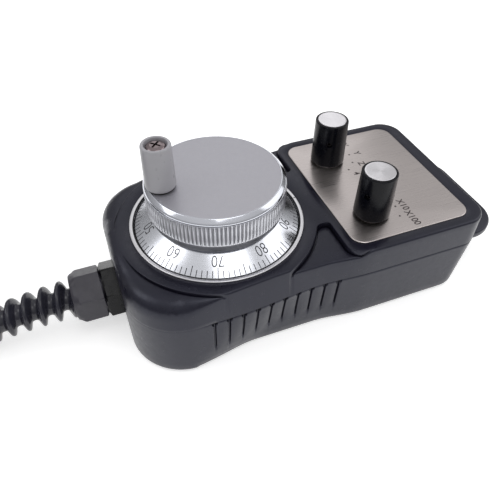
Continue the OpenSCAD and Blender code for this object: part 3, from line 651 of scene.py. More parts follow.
# ---- housing outline -----------------------------------------------------------------------
# At each height: where the narrowing towards the grip starts and ends, the half widths beside
# the wheel, at the grip and beside the panel, and the panel end
LEVELS = {
    0.0: (-32, 4, WHEEL_HALF, 41, 43.6, PANEL_END - 3.5),
    SPLIT: (-8, 34, WHEEL_HALF + 0.2, 43.2, 44.6, PANEL_END),
    PIT: (-22, 24, WHEEL_HALF - 0.6, 42.4, 44.6, PANEL_END),
}
PANEL_START, PANEL_FULL = 34, 60
WHEEL_CORNER, PANEL_CORNER = 25, 11
SIDE_COLUMNS = 84
PLATFORM_R = 46.1
CORNER_ROLL, EDGE_ROLL = 7.5, 1.2
BOTTOM_EDGE = 3
JOINT_GAP, JOINT_OPENING, JOINT_START, JOINT_SPAN = 0.05, 0.3, -26, 14


def side_samples(fine=()):
    """Where the long sides get a column of points, up to the panel's corner."""
    start, end = WHEEL_CORNER - CABLE_END, PANEL_END - PANEL_CORNER
    return np.unique(np.round(np.r_[np.linspace(start, end, SIDE_COLUMNS), fine], 4))


def half_outline(z, inset=0.0, xs=None):
    """Half an outline from the middle of the cable end to the middle of the panel end."""
    start, full, wheel, waist, panel, end = (
        np.interp(z, sorted(LEVELS), [LEVELS[h][k] for h in sorted(LEVELS)]) for k in range(6))
    xs = side_samples() if xs is None else xs
    x_end = end - PANEL_CORNER
    x = np.where(xs > PANEL_FULL,
                 PANEL_FULL + (xs - PANEL_FULL) * (x_end - PANEL_FULL) / (xs[-1] - PANEL_FULL), xs)
    y = np.where(x < PANEL_START,
                 wheel + (waist - wheel) * ease((x - start) / (full - start)),
                 waist + (panel - waist) * ease((x - PANEL_START) / (PANEL_FULL - PANEL_START)))
    lead = np.linspace(0, wheel - WHEEL_CORNER, 12)[:-1]
    turn = np.radians(np.linspace(180, 90, 25)[:-1])
    close = np.radians(np.linspace(90, 0, 15)[1:])
    tail = np.linspace(panel - PANEL_CORNER, 0, 7)[1:]
    base = np.r_[
        np.c_[np.full(len(lead), -CABLE_END), lead],
        polar(WHEEL_CORNER, turn, centre=(WHEEL_CORNER - CABLE_END, wheel - WHEEL_CORNER)),
        np.c_[x, y],
        polar(PANEL_CORNER, close, centre=(x_end, panel - PANEL_CORNER)),
        np.c_[np.full(len(tail), end), tail]]
    normal = np.r_[np.tile([-1.0, 0], (len(lead), 1)), polar(1, turn), np.tile([0, 1.0], (len(x), 1)),
                   polar(1, close), np.tile([1.0, 0], (len(tail), 1))]
    return base - normal * np.reshape(inset, (-1, 1))


def outline(z, inset=0.0, xs=None):
    """A closed outline: half of one and its mirror, which share the points on the middle line."""
    half = half_outline(z, inset, xs)
    return np.r_[half, half[-2:0:-1] * [1, -1]]


def joint_chamfer(xs=None):
    """The joint between the shells opens into a fine line from the grooves to the panel end."""
    half = half_outline(SPLIT, 0, xs)
    return JOINT_GAP + JOINT_OPENING * ease((half[:, 0] - JOINT_START) / JOINT_SPAN)


def rounded_box(low, high, corner, steps=10):
    """Outline of a rectangle with round corners."""
    corners = ((high[0], high[1]), (low[0], high[1]), (low[0], low[1]), (high[0], low[1]))
    out = []
    for k, (x, y) in enumerate(corners):
        centre = (x - math.copysign(corner, x - low[0] - 1e-9), y - math.copysign(corner, y - low[1] - 1e-9))
        out.append(polar(corner, np.radians(np.linspace(90 * k, 90 * k + 90, steps + 1)), centre=centre))
    return np.concatenate(out)


# ---- upper shell ---------------------------------------------------------------------------
FRAME_X0, FRAME_HALF, FRAME_CORNER = PLATE_LOW[0] - 4.1, 43.4, 6.5
BRIDGE_HALF, BRIDGE_REACH, BRIDGE_CORNER, BLEND = 20.5, 14, 0.1, 2.4
BEZEL_HOLE, CAN_HOLE, SWITCH_HOLE = BEZEL_R + 0.05, 30.2, 4.6
PLATE_CORNER, PLATE_GAP, HOLE_EDGE, EDGE_SLOPE = 6.5, 0.05, 0.25, 0.8
SWITCHES = [(KNOB_X, KNOB_Y), (KNOB_X, -KNOB_Y)]
# Across the step from the platform down to the pits: distance, and share of the drop
STEP_AT = [-0.4, -0.16, 0, 0.07, 0.14, 0.62, 0.7, 0.95]
STEP_DROP = [0, 0.02, 0.1, 0.9, 1.5, 1.5, 1.02, 1]
# Beside the wheel the pits rise to the deck in two halves: azimuth where each starts, and its span
PIT_RISES = [(60, 50), (150, 24)]
# The grid on which the step's edge is traced, how thinly it is used for points in the pits, and how
# far those keep from the step and the rim
GRID_STEP, GRID_END, GRID_HALF, GRID_THIN = 0.55, 62, 48, 9
CLEAR_OF_STEP, CLEAR_OF_RIM = 1.2, 0.5


def box_distance(p, low, high, corner):
    """Distance outside a rectangle with round corners, negative within."""
    centre, half = (np.array(low) + high) / 2, (np.array(high) - low) / 2
    q = np.abs(p - centre) - half + corner
    return np.hypot(*np.maximum(q, 0).T) + np.minimum(q.max(1), 0) - corner


def blended(a, b, width):
    """The nearer of two distances, with their meeting rounded over a width."""
    t = np.clip(0.5 + 0.5 * (b - a) / width, 0, 1)
    return b + (a - b) * t - width * t * (1 - t)


def platform_distance(p):
    """Distance from the raised area: dial platform, panel frame and the bridge between them."""
    disc = np.hypot(*p.T) - PLATFORM_R
    panel_frame = box_distance(p, (FRAME_X0, -FRAME_HALF), (PANEL_END + 30, FRAME_HALF), FRAME_CORNER)
    bridge = box_distance(p, (FRAME_X0 - BRIDGE_REACH, -BRIDGE_HALF),
                          (FRAME_X0 + BRIDGE_REACH, BRIDGE_HALF), BRIDGE_CORNER)
    return blended(blended(disc, bridge, BLEND), panel_frame, BLEND)


def contour(field, level, xs, ys):
    """Segments where a field on a grid crosses a level."""
    f = field - level
    f[np.abs(f) < 1e-9] = 1e-9
    a, b, c, d = f[:-1, :-1], f[1:, :-1], f[1:, 1:], f[:-1, 1:]
    segments = []
    for i, j in zip(*np.nonzero((np.sign(a) != np.sign(b)) | (np.sign(b) != np.sign(c))
                                | (np.sign(c) != np.sign(d)))):
        corners = [(xs[i], ys[j], f[i, j]), (xs[i + 1], ys[j], f[i + 1, j]),
                   (xs[i + 1], ys[j + 1], f[i + 1, j + 1]), (xs[i], ys[j + 1], f[i, j + 1])]
        cut = []
        for (x0, y0, v0), (x1, y1, v1) in zip(corners, corners[1:] + corners[:1]):
            if (v0 < 0) != (v1 < 0):
                t = v0 / (v0 - v1)
                cut.append((x0 + (x1 - x0) * t, y0 + (y1 - y0) * t))
        if len(cut) == 2:
            segments.append(cut)
    return segments


def edge_of(points, loop, values):
    """Distance of points from a closed outline, a value carried along it, and their place on it."""
    a, b = loop, np.roll(loop, -1, axis=0)
    along = b - a
    t = np.einsum("pnk,nk->pn", points[:, None] - a, along) / np.maximum((along ** 2).sum(1), 1e-12)
    t = np.clip(t, 0, 1)
    far = np.linalg.norm(points[:, None] - (a + t[..., None] * along), axis=2)
    k = far.argmin(1)
    rows = np.arange(len(points))
    share = t[rows, k]
    return far[rows, k], values[k] * (1 - share) + np.roll(values, -1)[k] * share, k + share


def roll_radius(points):
    """The upper edge rolls off widely outside the dial platform and tightly elsewhere."""
    wide = np.clip(np.hypot(*points.T) - PLATFORM_R, EDGE_ROLL, CORNER_ROLL)
    return np.where(points[:, 0] < 0, wide, EDGE_ROLL)


def plate_opening(grown=0.0):
    """Outline of the panel plate's opening, grown outwards."""
    return rounded_box(PLATE_LOW[:2] - PLATE_GAP - grown, PLATE_HIGH[:2] + PLATE_GAP + grown,
                       PLATE_CORNER + grown)


def deck_height(p, edge, roll):
    """Height of the upper shell's outside over a point, given its distance from the edge."""
    azimuth = np.degrees(np.abs(np.arctan2(p[:, 1], p[:, 0])))
    beside = sum(0.5 * ease((azimuth - start) / span) for start, span in PIT_RISES)
    risen = np.maximum(beside, ease((p[:, 0] - FRAME_X0 - 3) / 7))
    low = PIT + (DECK - PIT) * risen
    z = DECK - (DECK - low) * np.interp(platform_distance(p), STEP_AT, STEP_DROP)
    z = z - np.where(edge < roll, roll - np.sqrt(np.maximum(roll ** 2 - (roll - edge) ** 2, 0)), 0)
    plate = box_distance(p, PLATE_LOW[:2] - PLATE_GAP, PLATE_HIGH[:2] + PLATE_GAP, PLATE_CORNER)
    for near in (np.abs(np.hypot(*p.T) - BEZEL_HOLE), np.abs(plate)):
        z = z - EDGE_SLOPE * np.maximum(HOLE_EDGE - near, 0)
    return z


def loops_of(faces):
    """The rings of edges that belong to one face only."""
    after, seen = {}, {}
    for f in faces:
        for a, b in zip(f, f[1:] + f[:1]):
            seen[(a, b)] = True
    for a, b in seen:
        if (b, a) not in seen:
            after[a] = b
    loops = []
    while after:
        start, here = next(iter(after.items()))
        loop = [start]
        del after[start]
        while here != start:
            loop.append(here)
            here = after.pop(here)
        loops.append(loop)
    return loops


def deck_triangles(rim, roll):
    """The deck seen from above: points and triangles that follow its rim, steps and openings."""
    half_roll = roll[:len(half_outline(PIT))]
    loops = [outline(PIT, half_roll * (1 - math.cos(math.radians(a)))) for a in (0, 18, 36, 54, 72, 90)]
    loops += [circle(BEZEL_HOLE), circle(BEZEL_HOLE + HOLE_EDGE), plate_opening(), plate_opening(HOLE_EDGE)]
    points, edges = [], []
    for loop in loops:
        edges += loop_edges(len(loop), len(points))
        points += [tuple(p) for p in loop]
    xs = np.arange(-CABLE_END - 1, GRID_END, GRID_STEP)
    ys = np.arange(-GRID_HALF, GRID_HALF + 0.1, GRID_STEP)
    grid = np.stack(np.meshgrid(xs, ys, indexing="ij"), -1).reshape(-1, 2)
    field = platform_distance(grid).reshape(len(xs), len(ys))
    for level in STEP_AT:
        for a, b in contour(field, level, xs, ys):
            if inside(np.array([a, b]), rim).any():
                edges.append((len(points), len(points) + 1))
                points += [a, b]
    extra = grid[::GRID_THIN]
    far, _, _ = edge_of(extra, rim, roll)
    keep = inside(extra, rim) & (platform_distance(extra) > CLEAR_OF_STEP) & (far > CLEAR_OF_RIM)
    points += [tuple(p) for p in extra[keep]]
    verts, _, faces, _, _, _ = delaunay_2d_cdt([Vector(p) for p in points], edges, [], 0, 1e-5, False)
    flat = np.array([v[:] for v in verts])
    centres = np.array([flat[list(f)].mean(0) for f in faces])
    keep = inside(centres, rim) & ~inside(centres, circle(BEZEL_HOLE)) & ~inside(centres, plate_opening())
    return flat, [tuple(f) for f, kept in zip(faces, keep) if kept]


def top_shell():
    rim = outline(PIT)
    roll = roll_radius(rim)
    flat, faces = deck_triangles(rim, roll)
    edge, roll_here, _ = edge_of(flat, rim, roll)
    skin = Skin()
    skin.ring(lifted(flat, deck_height(flat, edge, roll_here)))
    skin.faces = list(faces)
    outer, bezel, plate = sorted(loops_of(faces), key=lambda loop: -np.ptp(flat[loop][:, 0]))[:3]
    # The outer wall, down from the deck's edge to the joint
    _, _, along = edge_of(flat[outer], rim, roll)
    top_z = skin.at(outer)[:, 2]
    above = outer
    for share in (0.2, 0.4, 0.6, 0.8, 0.97, 1):
        ring = outline(PIT + (SPLIT - PIT) * share, joint_chamfer() if share == 1 else 0)
        k = along.astype(int) % len(ring)
        t = (along % 1)[:, None]
        below = skin.ring(lifted(ring[k] * (1 - t) + np.roll(ring, -1, axis=0)[k] * t,
                                 top_z + (SPLIT - top_z) * share))
        skin.strip(above, below)
        above = below
    inner_low, inner_high = skin.wall(outline(SPLIT, WALL), SPLIT, CEILING)
    skin.fill(above, [inner_low])
    # The dial's recess and the opening for the encoder
    floor = skin.ring(lifted(flat[bezel], PIT))
    skin.strip(bezel, floor)
    can_top, can_low = skin.wall(circle(CAN_HOLE, 120), PIT, CEILING)
    skin.fill(floor, [can_top])
    # The panel's recess with the holes of the switches
    shelf = skin.ring(lifted(flat[plate], PLATE_LOW[2]))
    skin.strip(plate, shelf)
    uppers, lowers = zip(*(skin.wall(circle(SWITCH_HOLE, 40, at), PLATE_LOW[2], CEILING)
                           for at in SWITCHES))
    skin.fill(shelf, uppers)
    skin.fill(inner_high, [can_low, *lowers])
    return skin


# ---- lower shell ---------------------------------------------------------------------------
SCREWS = [(x, side * y) for x, y in ((-38, 30), (44, 31.2), (105.5, 33.5)) for side in (-1, 1)]
# Radius and height down a screw's hole from the underside, and down its boss from the joint
SCREW_HOLE = [(3.45, 0), (3.2, 0.25), (3.2, 3.4), (1.6, 3.4)]
SCREW_BOSS = [(3.5, WALL), (3.5, SPLIT), (1.6, SPLIT)]
GROOVES, GROOVE_PITCH, GROOVE_X0 = 10, 6.65, -17.2
GROOVE_LOW, GROOVE_FULL = 10, 14.5
NOTCH_LOW, NOTCH_RISE = SPLIT - 2.4, 1.2
GROOVE_EDGE, NOTCH_EDGE = 0.42, 1.15
GROOVE_CUT, NOTCH_CUT, RIB_CROWN, GROOVE_RUN_OUT = 0.9, 0.5, 0.4, 1.5
# Only points this far from the middle line are on the long sides
SIDE_Y = 35


def groove_columns():
    """Columns of points at the edges of each finger groove and across the rib beside it."""
    marks = (-1.35, -NOTCH_EDGE, -0.9, -0.6, -GROOVE_EDGE, -0.2, 0, 0.2, GROOVE_EDGE, 0.6, 0.9,
             NOTCH_EDGE, 1.35, 2.1, 2.8, 3.4, 4, 4.7)
    return [GROOVE_X0 + i * GROOVE_PITCH + m for i in range(GROOVES) for m in marks]


def groove_depth(x, z):
    """How far the side is cut back at a point: narrow grooves, a notch at the top, crowned ribs."""
    first = GROOVE_X0 - GROOVE_RUN_OUT
    last = GROOVE_X0 + (GROOVES - 1) * GROOVE_PITCH + GROOVE_RUN_OUT
    beside = (x > first) & (x < last)
    pitches = (x - GROOVE_X0) / GROOVE_PITCH
    far = np.abs((pitches + 0.5) % 1 - 0.5) * GROOVE_PITCH
    tall = ease((z - GROOVE_LOW) / (GROOVE_FULL - GROOVE_LOW))
    notch = ease((z - NOTCH_LOW) / NOTCH_RISE)
    half = GROOVE_EDGE + (NOTCH_EDGE - GROOVE_EDGE) * notch
    cut = (GROOVE_CUT * tall + NOTCH_CUT * notch) * np.clip((half + 0.18 - far) / 0.3, 0, 1)
    crown = RIB_CROWN * tall * (1 - np.sin(math.pi * (pitches % 1)))
    inner = ease((x - first) / GROOVE_RUN_OUT) * ease((last - x) / GROOVE_RUN_OUT)
    return np.where(beside, cut + crown * inner, 0)


def bottom_shell():
    xs = side_samples(groove_columns())
    half = half_outline(SPLIT, 0, xs)

    def level(z, chamfer=0):
        depth = np.where(np.abs(half[:, 1]) > SIDE_Y, groove_depth(half[:, 0], z), 0)
        return lifted(outline(z, depth + chamfer, xs), z)

    rings = []
    for turn in np.radians((90, 72, 54, 36, 18)):
        rings.append(lifted(outline(0, BOTTOM_EDGE * (1 - math.cos(turn)), xs),
                            BOTTOM_EDGE * (1 - math.sin(turn))))
    heights = [BOTTOM_EDGE, 6.5, GROOVE_LOW, 10.9, 11.9, 13.2, GROOVE_FULL, 18, 22, 26]
    heights += [NOTCH_LOW + NOTCH_RISE * share for share in (0, 0.25, 0.5, 0.75, 1)]
    rings += [level(z) for z in (*heights, SPLIT - 0.5)]
    rings.append(level(SPLIT, joint_chamfer(xs)))
    skin = Skin()
    low, high = skin.rings(rings)
    inner_top, inner_floor = skin.rings([lifted(outline(z, WALL + extra, xs), z) for z, extra in (
        (SPLIT, 0), (SPLIT / 2, 0), (WALL + 1, 0), (WALL, 1))])
    skin.fill(high, [inner_top])
    mouths, bosses = [], []
    for at in SCREWS:
        mouth, bore = skin.rings([lifted(circle(r, 40, at), z) for r, z in SCREW_HOLE])
        boss, hole = skin.rings([lifted(circle(r, 40, at), z) for r, z in SCREW_BOSS])
        skin.strip(hole, bore)
        mouths.append(mouth)
        bosses.append(boss)
    skin.fill(low, mouths)
    skin.fill(inner_floor, bosses)
    return skin


def hanging_lug():
    """The flat lug at the panel end, with rounded edges."""
    half, top, thick, corner, edge = 33, 22, 4, 16.5, 0.9
    x0, x1 = PANEL_END - 2, node_box("bottom_shell")[1][0]
    arc = np.radians(np.linspace(-90, 0, 15))
    rings = []
    for a, up in [(a, -1) for a in (0, 30, 60, 90)] + [(a, 1) for a in (90, 60, 30, 0)]:
        inset = edge * (1 - math.sin(math.radians(a)))
        z = top - thick / 2 + up * (thick / 2 - edge + edge * math.cos(math.radians(a)))
        curve = polar(corner - inset, arc, centre=(x1 - corner, corner - half))
        shape = np.r_[[[x0, -half + inset]], curve, curve[::-1] * [1, -1], [[x0, half - inset]]]
        rings.append(lifted(shape, z))
    skin = Skin()
    skin.block(rings)
    return skin


piece("top_shell_skin", top_shell(), "shell_plastic", replaces=["top_shell"], sharp=40)
piece("bottom_shell_skin", bottom_shell(), "shell_plastic", replaces=["bottom_shell"], sharp=38)
piece("hanging_lug", hanging_lug(), "shell_plastic")


# ---- pulse generator -----------------------------------------------------------------------
BEZEL_W, FLANGE_T, LEAD_IN = 1.65, 1.5, 0.3
WEB_Z, WEB_T = PIT + 9, 1.6
DIAL_IN, HUB_BORE = 27.5, 8.05
DIAL_RISE = (WEB_Z - DIAL_FOOT - LEAD_IN) / (DIAL_R - DIAL_IN)
MARK_LIFT = 0.03
DIVISIONS = 100
# The dial's value 0 stands at the index mark, on the side of the selector panel
TICK_IN, LONG_TICK_IN, TICK_OUT, TICK_W = 35.0, 33.8, 37.5, 0.33
NUMBER_IN, NUMBER_H, NUMBER_LIFT = 29.5, 4.9, 0.04


def bezel():
    """The fixed flange: its hub below, a flat seat and the bezel's ring round the dial."""
    seat, inner = PIT + FLANGE_T, BEZEL_R - BEZEL_W
    hub_low, hub_r, bearing_r, step_r, spigot_r = 26, 12, 7.5, 6.5, 28.6
    return revolve([
        (bearing_r, hub_low), (hub_r, hub_low), (hub_r, PIT - 1), (spigot_r, PIT - 1), (spigot_r, PIT),
        (BEZEL_R, PIT), (BEZEL_R, BEZEL_TOP, 0.45), (inner, BEZEL_TOP, 0.3), (inner, seat),
        (bearing_r, seat), (bearing_r, seat - 5), (step_r, seat - 5), (step_r, hub_low + 5),
        (bearing_r, hub_low + 5)], 256, closed=True)


def dial():
    """The graduated cone and its flat web."""
    return revolve([
        (DIAL_R, DIAL_FOOT), (DIAL_R, DIAL_FOOT + LEAD_IN, 0.12), (DIAL_IN, WEB_Z, 0.5), (HUB_BORE, WEB_Z),
        (HUB_BORE, WEB_Z - WEB_T), (DIAL_IN - 0.7, WEB_Z - WEB_T), (DIAL_R - 2, DIAL_FOOT)], 256, closed=True)


def on_dial(azimuth, r, lift=MARK_LIFT):
    """Points just over the cone."""
    return polar(r, azimuth, DIAL_FOOT + LEAD_IN + (DIAL_R - r) * DIAL_RISE + lift)


def dial_ticks():
    skin = Skin()
    for n in range(DIVISIONS):
        inner = LONG_TICK_IN if n % 5 == 0 else TICK_IN
        r = np.array([inner, inner, TICK_OUT, TICK_OUT])
        azimuth = 2 * math.pi * n / DIVISIONS + np.array([-1, 1, 1, -1]) * TICK_W / 2 / r
        skin.block([on_dial(azimuth, r, -MARK_LIFT), on_dial(azimuth, r)])
    return skin


def lettering(skin, words, height, squeeze, place, weight=-0.012):
    """Adds flat lettering, whose points place(x, y) puts on the surface, x = 0 at its middle."""
    data = bpy.data.curves.new("words", "FONT")
    data.body = words
    data.align_x = "CENTER"
    data.offset = weight
    data.resolution_u = 6
    text = shown("words", data)
    text.update_tag()
    mesh = bpy.data.meshes.new_from_object(text.evaluated_get(bpy.context.evaluated_depsgraph_get()))
    flat = np.array([v.co[:2] for v in mesh.vertices])
    faces = [tuple(p.vertices) for p in mesh.polygons]
    bpy.data.objects.remove(text)
    bpy.data.curves.remove(data)
    bpy.data.meshes.remove(mesh)
    scale = height / np.ptp(flat[:, 1])
    x = (flat[:, 0] - flat[:, 0].min() - np.ptp(flat[:, 0]) / 2) * scale * squeeze
    y = (flat[:, 1] - flat[:, 1].min()) * scale
    made = skin.ring(place(x, y))
    skin.faces += [tuple(made[i] for i in f) for f in faces]


def dial_numbers():
    skin = Skin()
    slope = math.hypot(1, DIAL_RISE)
    for n in range(0, DIVISIONS, 10):
        azimuth = 2 * math.pi * n / DIVISIONS
        lettering(skin, str(n), NUMBER_H, 0.8, lambda x, y: on_dial(
            azimuth - x / (NUMBER_IN + NUMBER_H / 2), NUMBER_IN + y / slope, NUMBER_LIFT))
    return skin


def seal_lip():
    """A black ring put into the gap between the dial and the bezel as painted shade, the dark line of the
    gap's shadow.
    """
    r0, r1, top = DIAL_R - 0.2, BEZEL_R - BEZEL_W, BEZEL_TOP - 0.05
    return revolve([(r0, top - 0.5), (r1, top - 0.5), (r1, top), (r0, top, 0.1)], 256, closed=True)


def index_mark():
    """The line on the bezel at which the dial is read."""
    r0, r1, half = BEZEL_R - BEZEL_W + 0.3, BEZEL_R - 0.45, 0.2
    skin = Skin()
    skin.block([lifted([(r0, -half), (r1, -half), (r1, half), (r0, half)], z)
                for z in (BEZEL_TOP - 0.05, BEZEL_TOP + 0.02)])
    return skin


# The knurled band, the bevelled rim over it and the cover disc within the rim
WHEEL_FOOT, BAND_TOP = WEB_Z + 1, WHEEL_TOP - 2.8
BAND_LOW = WHEEL_FOOT + (BAND_TOP - WHEEL_FOOT) * 0.29
COVER_T, RIM_W, RIM_GAP, RIM_GROOVE = 1.2, 2.5, 0.35, 0.6
KNURLS, KNURL_DEPTH, KNURL_RUN_OUT = 112, 0.6, 0.4


def knurled(angle, r, z):
    """Flat-topped ridges with a rounded valley between them, run out at both ends of the band."""
    full = ease(min(z - BAND_LOW, BAND_TOP - z) / KNURL_RUN_OUT)
    valley = (0.5 - 0.5 * np.cos(angle * KNURLS)) ** 1.5
    return r - KNURL_DEPTH * valley * full


def handwheel():
    """The wheel, hollow below, with a seat for its cover and a hole for its screw on top."""
    rim_foot, seat, top = BAND_TOP + RIM_GAP, WHEEL_TOP - COVER_T, WHEEL_TOP
    bore, spigot, hub, hollow_in, hollow_out, screw, head = 3, 8, 10, 21, 26, 1.6, 3.4
    band = [(WHEEL_R, BAND_LOW + t * (BAND_TOP - BAND_LOW)) for t in (0.012, 0.03, 0.3, 0.7, 0.97, 0.988)]
    return revolve([
        (bore, WEB_Z - 5), (spigot, WEB_Z - 5), (spigot, WEB_Z), (hub, WEB_Z), (hub, top - 6),
        (hollow_in, top - 6), (hollow_in, WEB_Z), (hollow_out, WEB_Z), (hollow_out, WHEEL_FOOT),
        (WHEEL_R - 1.4, WHEEL_FOOT, 0.3),
        (WHEEL_R - 0.8, WHEEL_FOOT + 1.6, 0.6), (WHEEL_R - 0.4, BAND_LOW - 0.4, 0.3),
        (WHEEL_R, BAND_LOW, 0.2), *band, (WHEEL_R, BAND_TOP, 0.15),
        (WHEEL_R - RIM_GROOVE, BAND_TOP + 0.12), (WHEEL_R - RIM_GROOVE, rim_foot),
        (WHEEL_R - RIM_W, rim_foot), (WHEEL_R - RIM_W, seat), (head, seat), (head, top - 3.5),
        (screw, top - 3.5), (screw, top - 5.5), (bore, top - 5.5)],
        KNURLS * 8, shape=knurled, closed=True)


def wheel_rim():
    """The polished bevel between the knurled band and the cover."""
    foot = BAND_TOP + RIM_GAP
    return revolve([
        (WHEEL_R - RIM_W, foot), (WHEEL_R - RIM_GROOVE, foot), (WHEEL_R - 0.1, foot + 0.15, 0.1),
        (WHEEL_R - 0.3, BAND_TOP + 1.2, 0.6), (WHEEL_R - 2.05, WHEEL_TOP, 0.25),
        (WHEEL_R - RIM_W, WHEEL_TOP)], 256, closed=True)


def wheel_cover():
    r, low = WHEEL_R - RIM_W - 0.05, WHEEL_TOP - COVER_T
    return revolve([(0, low), (r, low), (r, WHEEL_TOP, 0.1), (r - 1, WHEEL_TOP), (r / 2, WHEEL_TOP),
                    (0, WHEEL_TOP)], 192)


def crank_grip():
    """The finger grip: a barely tapering tube with a rounded rim round a recess for its screw."""
    low, high, bore, recess = GRIP_LOW[2], GRIP_HIGH[2], 2.54, 4.7
    return revolve([
        (bore, low), (GRIP_R - 0.5, low), (GRIP_R, low + 0.6, 0.5), (GRIP_R - 0.08, low + 3),
        (GRIP_R - 0.42, high - 0.8), (GRIP_R - 0.62, high - 0.15, 0.7), (GRIP_R - 1.2, high, 0.5),
        (recess + 0.15, high, 0.35), (recess, high - 0.5), (recess, high - 2.1), (bore, high - 2.1)],
        128, (GRIP_X, 0), closed=True)


def knurled_metal(name, base, rough):
    """Bare aluminium, dull, with painted shade: darker down in the valleys of the knurl, and darkest
    everywhere nearer the axis than the valleys.
    """
    made = Finish(name, rough, 1.0)
    # Painted shade: the colour darkens from the knurl's crests inwards towards the axis
    high = made.spread(made.distance(), 0, 1, (WHEEL_R - KNURL_DEPTH) * MM, (WHEEL_R - 0.1) * MM)
    made.colours(high, shade(base, 0.4), base, 0, 1)
    return made.bump(made.noise(2200, 2), 0.002)


KNURL_SHADED_METAL = knurled_metal("knurled_metal", colour(214, 215, 221), 0.33)
RIM_METAL = turned("polished_rim", colour(214, 216, 224), 0.13, per_mm=4, depth=0.0001, anisotropy=0.2,
                   contrast=0.02)
POLISHED = turned("polished_dial", colour(222, 224, 231), 0.21, per_mm=2, depth=0.0001, anisotropy=0.2,
                  contrast=0.015)
BEZEL_METAL = turned("satin_bezel", colour(232, 231, 235), 0.34, per_mm=4, depth=0.0006, anisotropy=0.3)
BLASTED = blasted("blasted_cover", colour(196, 195, 202), 0.5)
INK = painted_marks("dial_ink", colour(28, 27, 34))

piece("bezel", bezel(), "aluminium", replaces=["encoder_flange"], material=BEZEL_METAL)
piece("dial", dial(), "aluminium", "handwheel", ["dial_ring"], POLISHED)
piece("dial_ticks", dial_ticks(), None, "handwheel", material=INK)
piece("dial_numbers", dial_numbers(), None, "handwheel", material=INK)
# A black ring that paints the shade in the gap round the dial
piece("dial_gap_shade_lip", seal_lip(), "rubber_black")
piece("index_mark", index_mark(), None, material=INK)
piece("knurled_wheel", handwheel(), "aluminium", "handwheel", ["handwheel"], KNURL_SHADED_METAL, sharp=40)
piece("wheel_rim", wheel_rim(), "aluminium", "handwheel", material=RIM_METAL)
piece("wheel_cover_disc", wheel_cover(), "aluminium", "handwheel", ["wheel_cover"], BLASTED)
piece("finger_grip", crank_grip(), "grip_grey", "crank", ["crank_grip"])


# ---- selectors -----------------------------------------------------------------------------
KNOB_TOP = KNOB_FOOT + 22.7
KNOB_TAPER = 0.4
# The set screw's hole, in a window of the knob's side this many columns wide to each side
GRUB_Z, GRUB_R, GRUB_PATCH, GRUB_COLUMNS, GRUB_POINTS = KNOB_FOOT + 13, 1.5, 2.4, 4, 36
# The hole ends this far from the knob's axis
GRUB_DEPTH_R = 4.5
CAP_R, CAP_PROUD = 6.9, 0.2
PLATE_TOP = PLATE_HIGH[2]


def knob_radius(z):
    return KNOB_R - KNOB_TAPER * (z - KNOB_FOOT) / (KNOB_TOP - 0.4 - KNOB_FOOT)


def knob(centre, grub_angle, count=96):
    """A slim knob, open below, with the hole of its set screw."""
    skin = Skin()
    first = math.radians(grub_angle)
    angle = first + full_turn(count)
    low, high = GRUB_Z - GRUB_PATCH, GRUB_Z + GRUB_PATCH

    def rows(profile):
        return [skin.ring(polar(r, angle, z, centre)) for r, z in softened(profile)]

    shaft, hollow, ceiling = 3.05, KNOB_R - 1.1, KNOB_FOOT + 6.5
    sides = rows([(shaft, ceiling), (hollow, ceiling), (hollow, KNOB_FOOT), (KNOB_R, KNOB_FOOT, 0.3),
                  (knob_radius(KNOB_FOOT + 1), KNOB_FOOT + 1), (knob_radius(low), low)])
    tops = rows([(knob_radius(high), high), (knob_radius(KNOB_TOP - 2), KNOB_TOP - 2),
                 (knob_radius(KNOB_TOP), KNOB_TOP, 0.55), (CAP_R + 0.05, KNOB_TOP, 0.12),
                 (CAP_R + 0.05, KNOB_TOP - 1), (0.02, KNOB_TOP - 1)])
    for a, b in (*zip(sides, sides[1:]), *zip(tops, tops[1:])):
        skin.strip(a, b)
    below, above = sides[-1], tops[0]
    window_columns = range(-GRUB_COLUMNS, GRUB_COLUMNS + 1)
    rest = [i % count for i in range(GRUB_COLUMNS, count - GRUB_COLUMNS + 1)]
    skin.strip([below[i] for i in rest], [above[i] for i in rest], closed=False)
    # The window round the set screw's hole is filled on the unrolled surface
    turn = full_turn(GRUB_POINTS)
    away, z = GRUB_R * np.cos(turn) / knob_radius(GRUB_Z), GRUB_Z + GRUB_R * np.sin(turn)
    rims = [skin.ring(polar(r, first + away, z, centre))
            for r in (knob_radius(z), knob_radius(z) - 0.15, GRUB_DEPTH_R)]
    window = [below[i] for i in window_columns] + [above[i] for i in reversed(window_columns)]
    flat = Skin()
    step = 2 * math.pi / count * KNOB_R
    loop = flat.ring([(i * step, low, 0) for i in window_columns]
                     + [(i * step, high, 0) for i in reversed(window_columns)])
    hole = flat.ring(lifted(np.c_[away * KNOB_R, z], 0))
    flat.fill(loop, [hole])
    back = window + rims[0]
    skin.faces += [tuple(back[i] for i in f) for f in flat.faces]
    skin.strip(rims[0], rims[1])
    skin.strip(rims[1], rims[2])
    return skin


def knob_cap(centre):
    top = KNOB_TOP + CAP_PROUD
    return revolve([(0, top - 1.2), (CAP_R, top - 1.2), (CAP_R, top, 0.25), (CAP_R - 1, top), (0, top)],
                   96, centre)


def pointer(centre, angle):
    """A white line down a knob's side."""
    rings = []
    for z in (KNOB_FOOT + 1.2, KNOB_TOP - 1.2):
        r = knob_radius(z)
        a = math.radians(angle) + np.array([-1, -0.5, 0, 0.5, 1, 1, -1]) * 0.35 / r
        rings.append(polar(r + np.array([0.03] * 5 + [-0.05] * 2), a, z, centre))
    skin = Skin()
    skin.block(rings)
    return skin


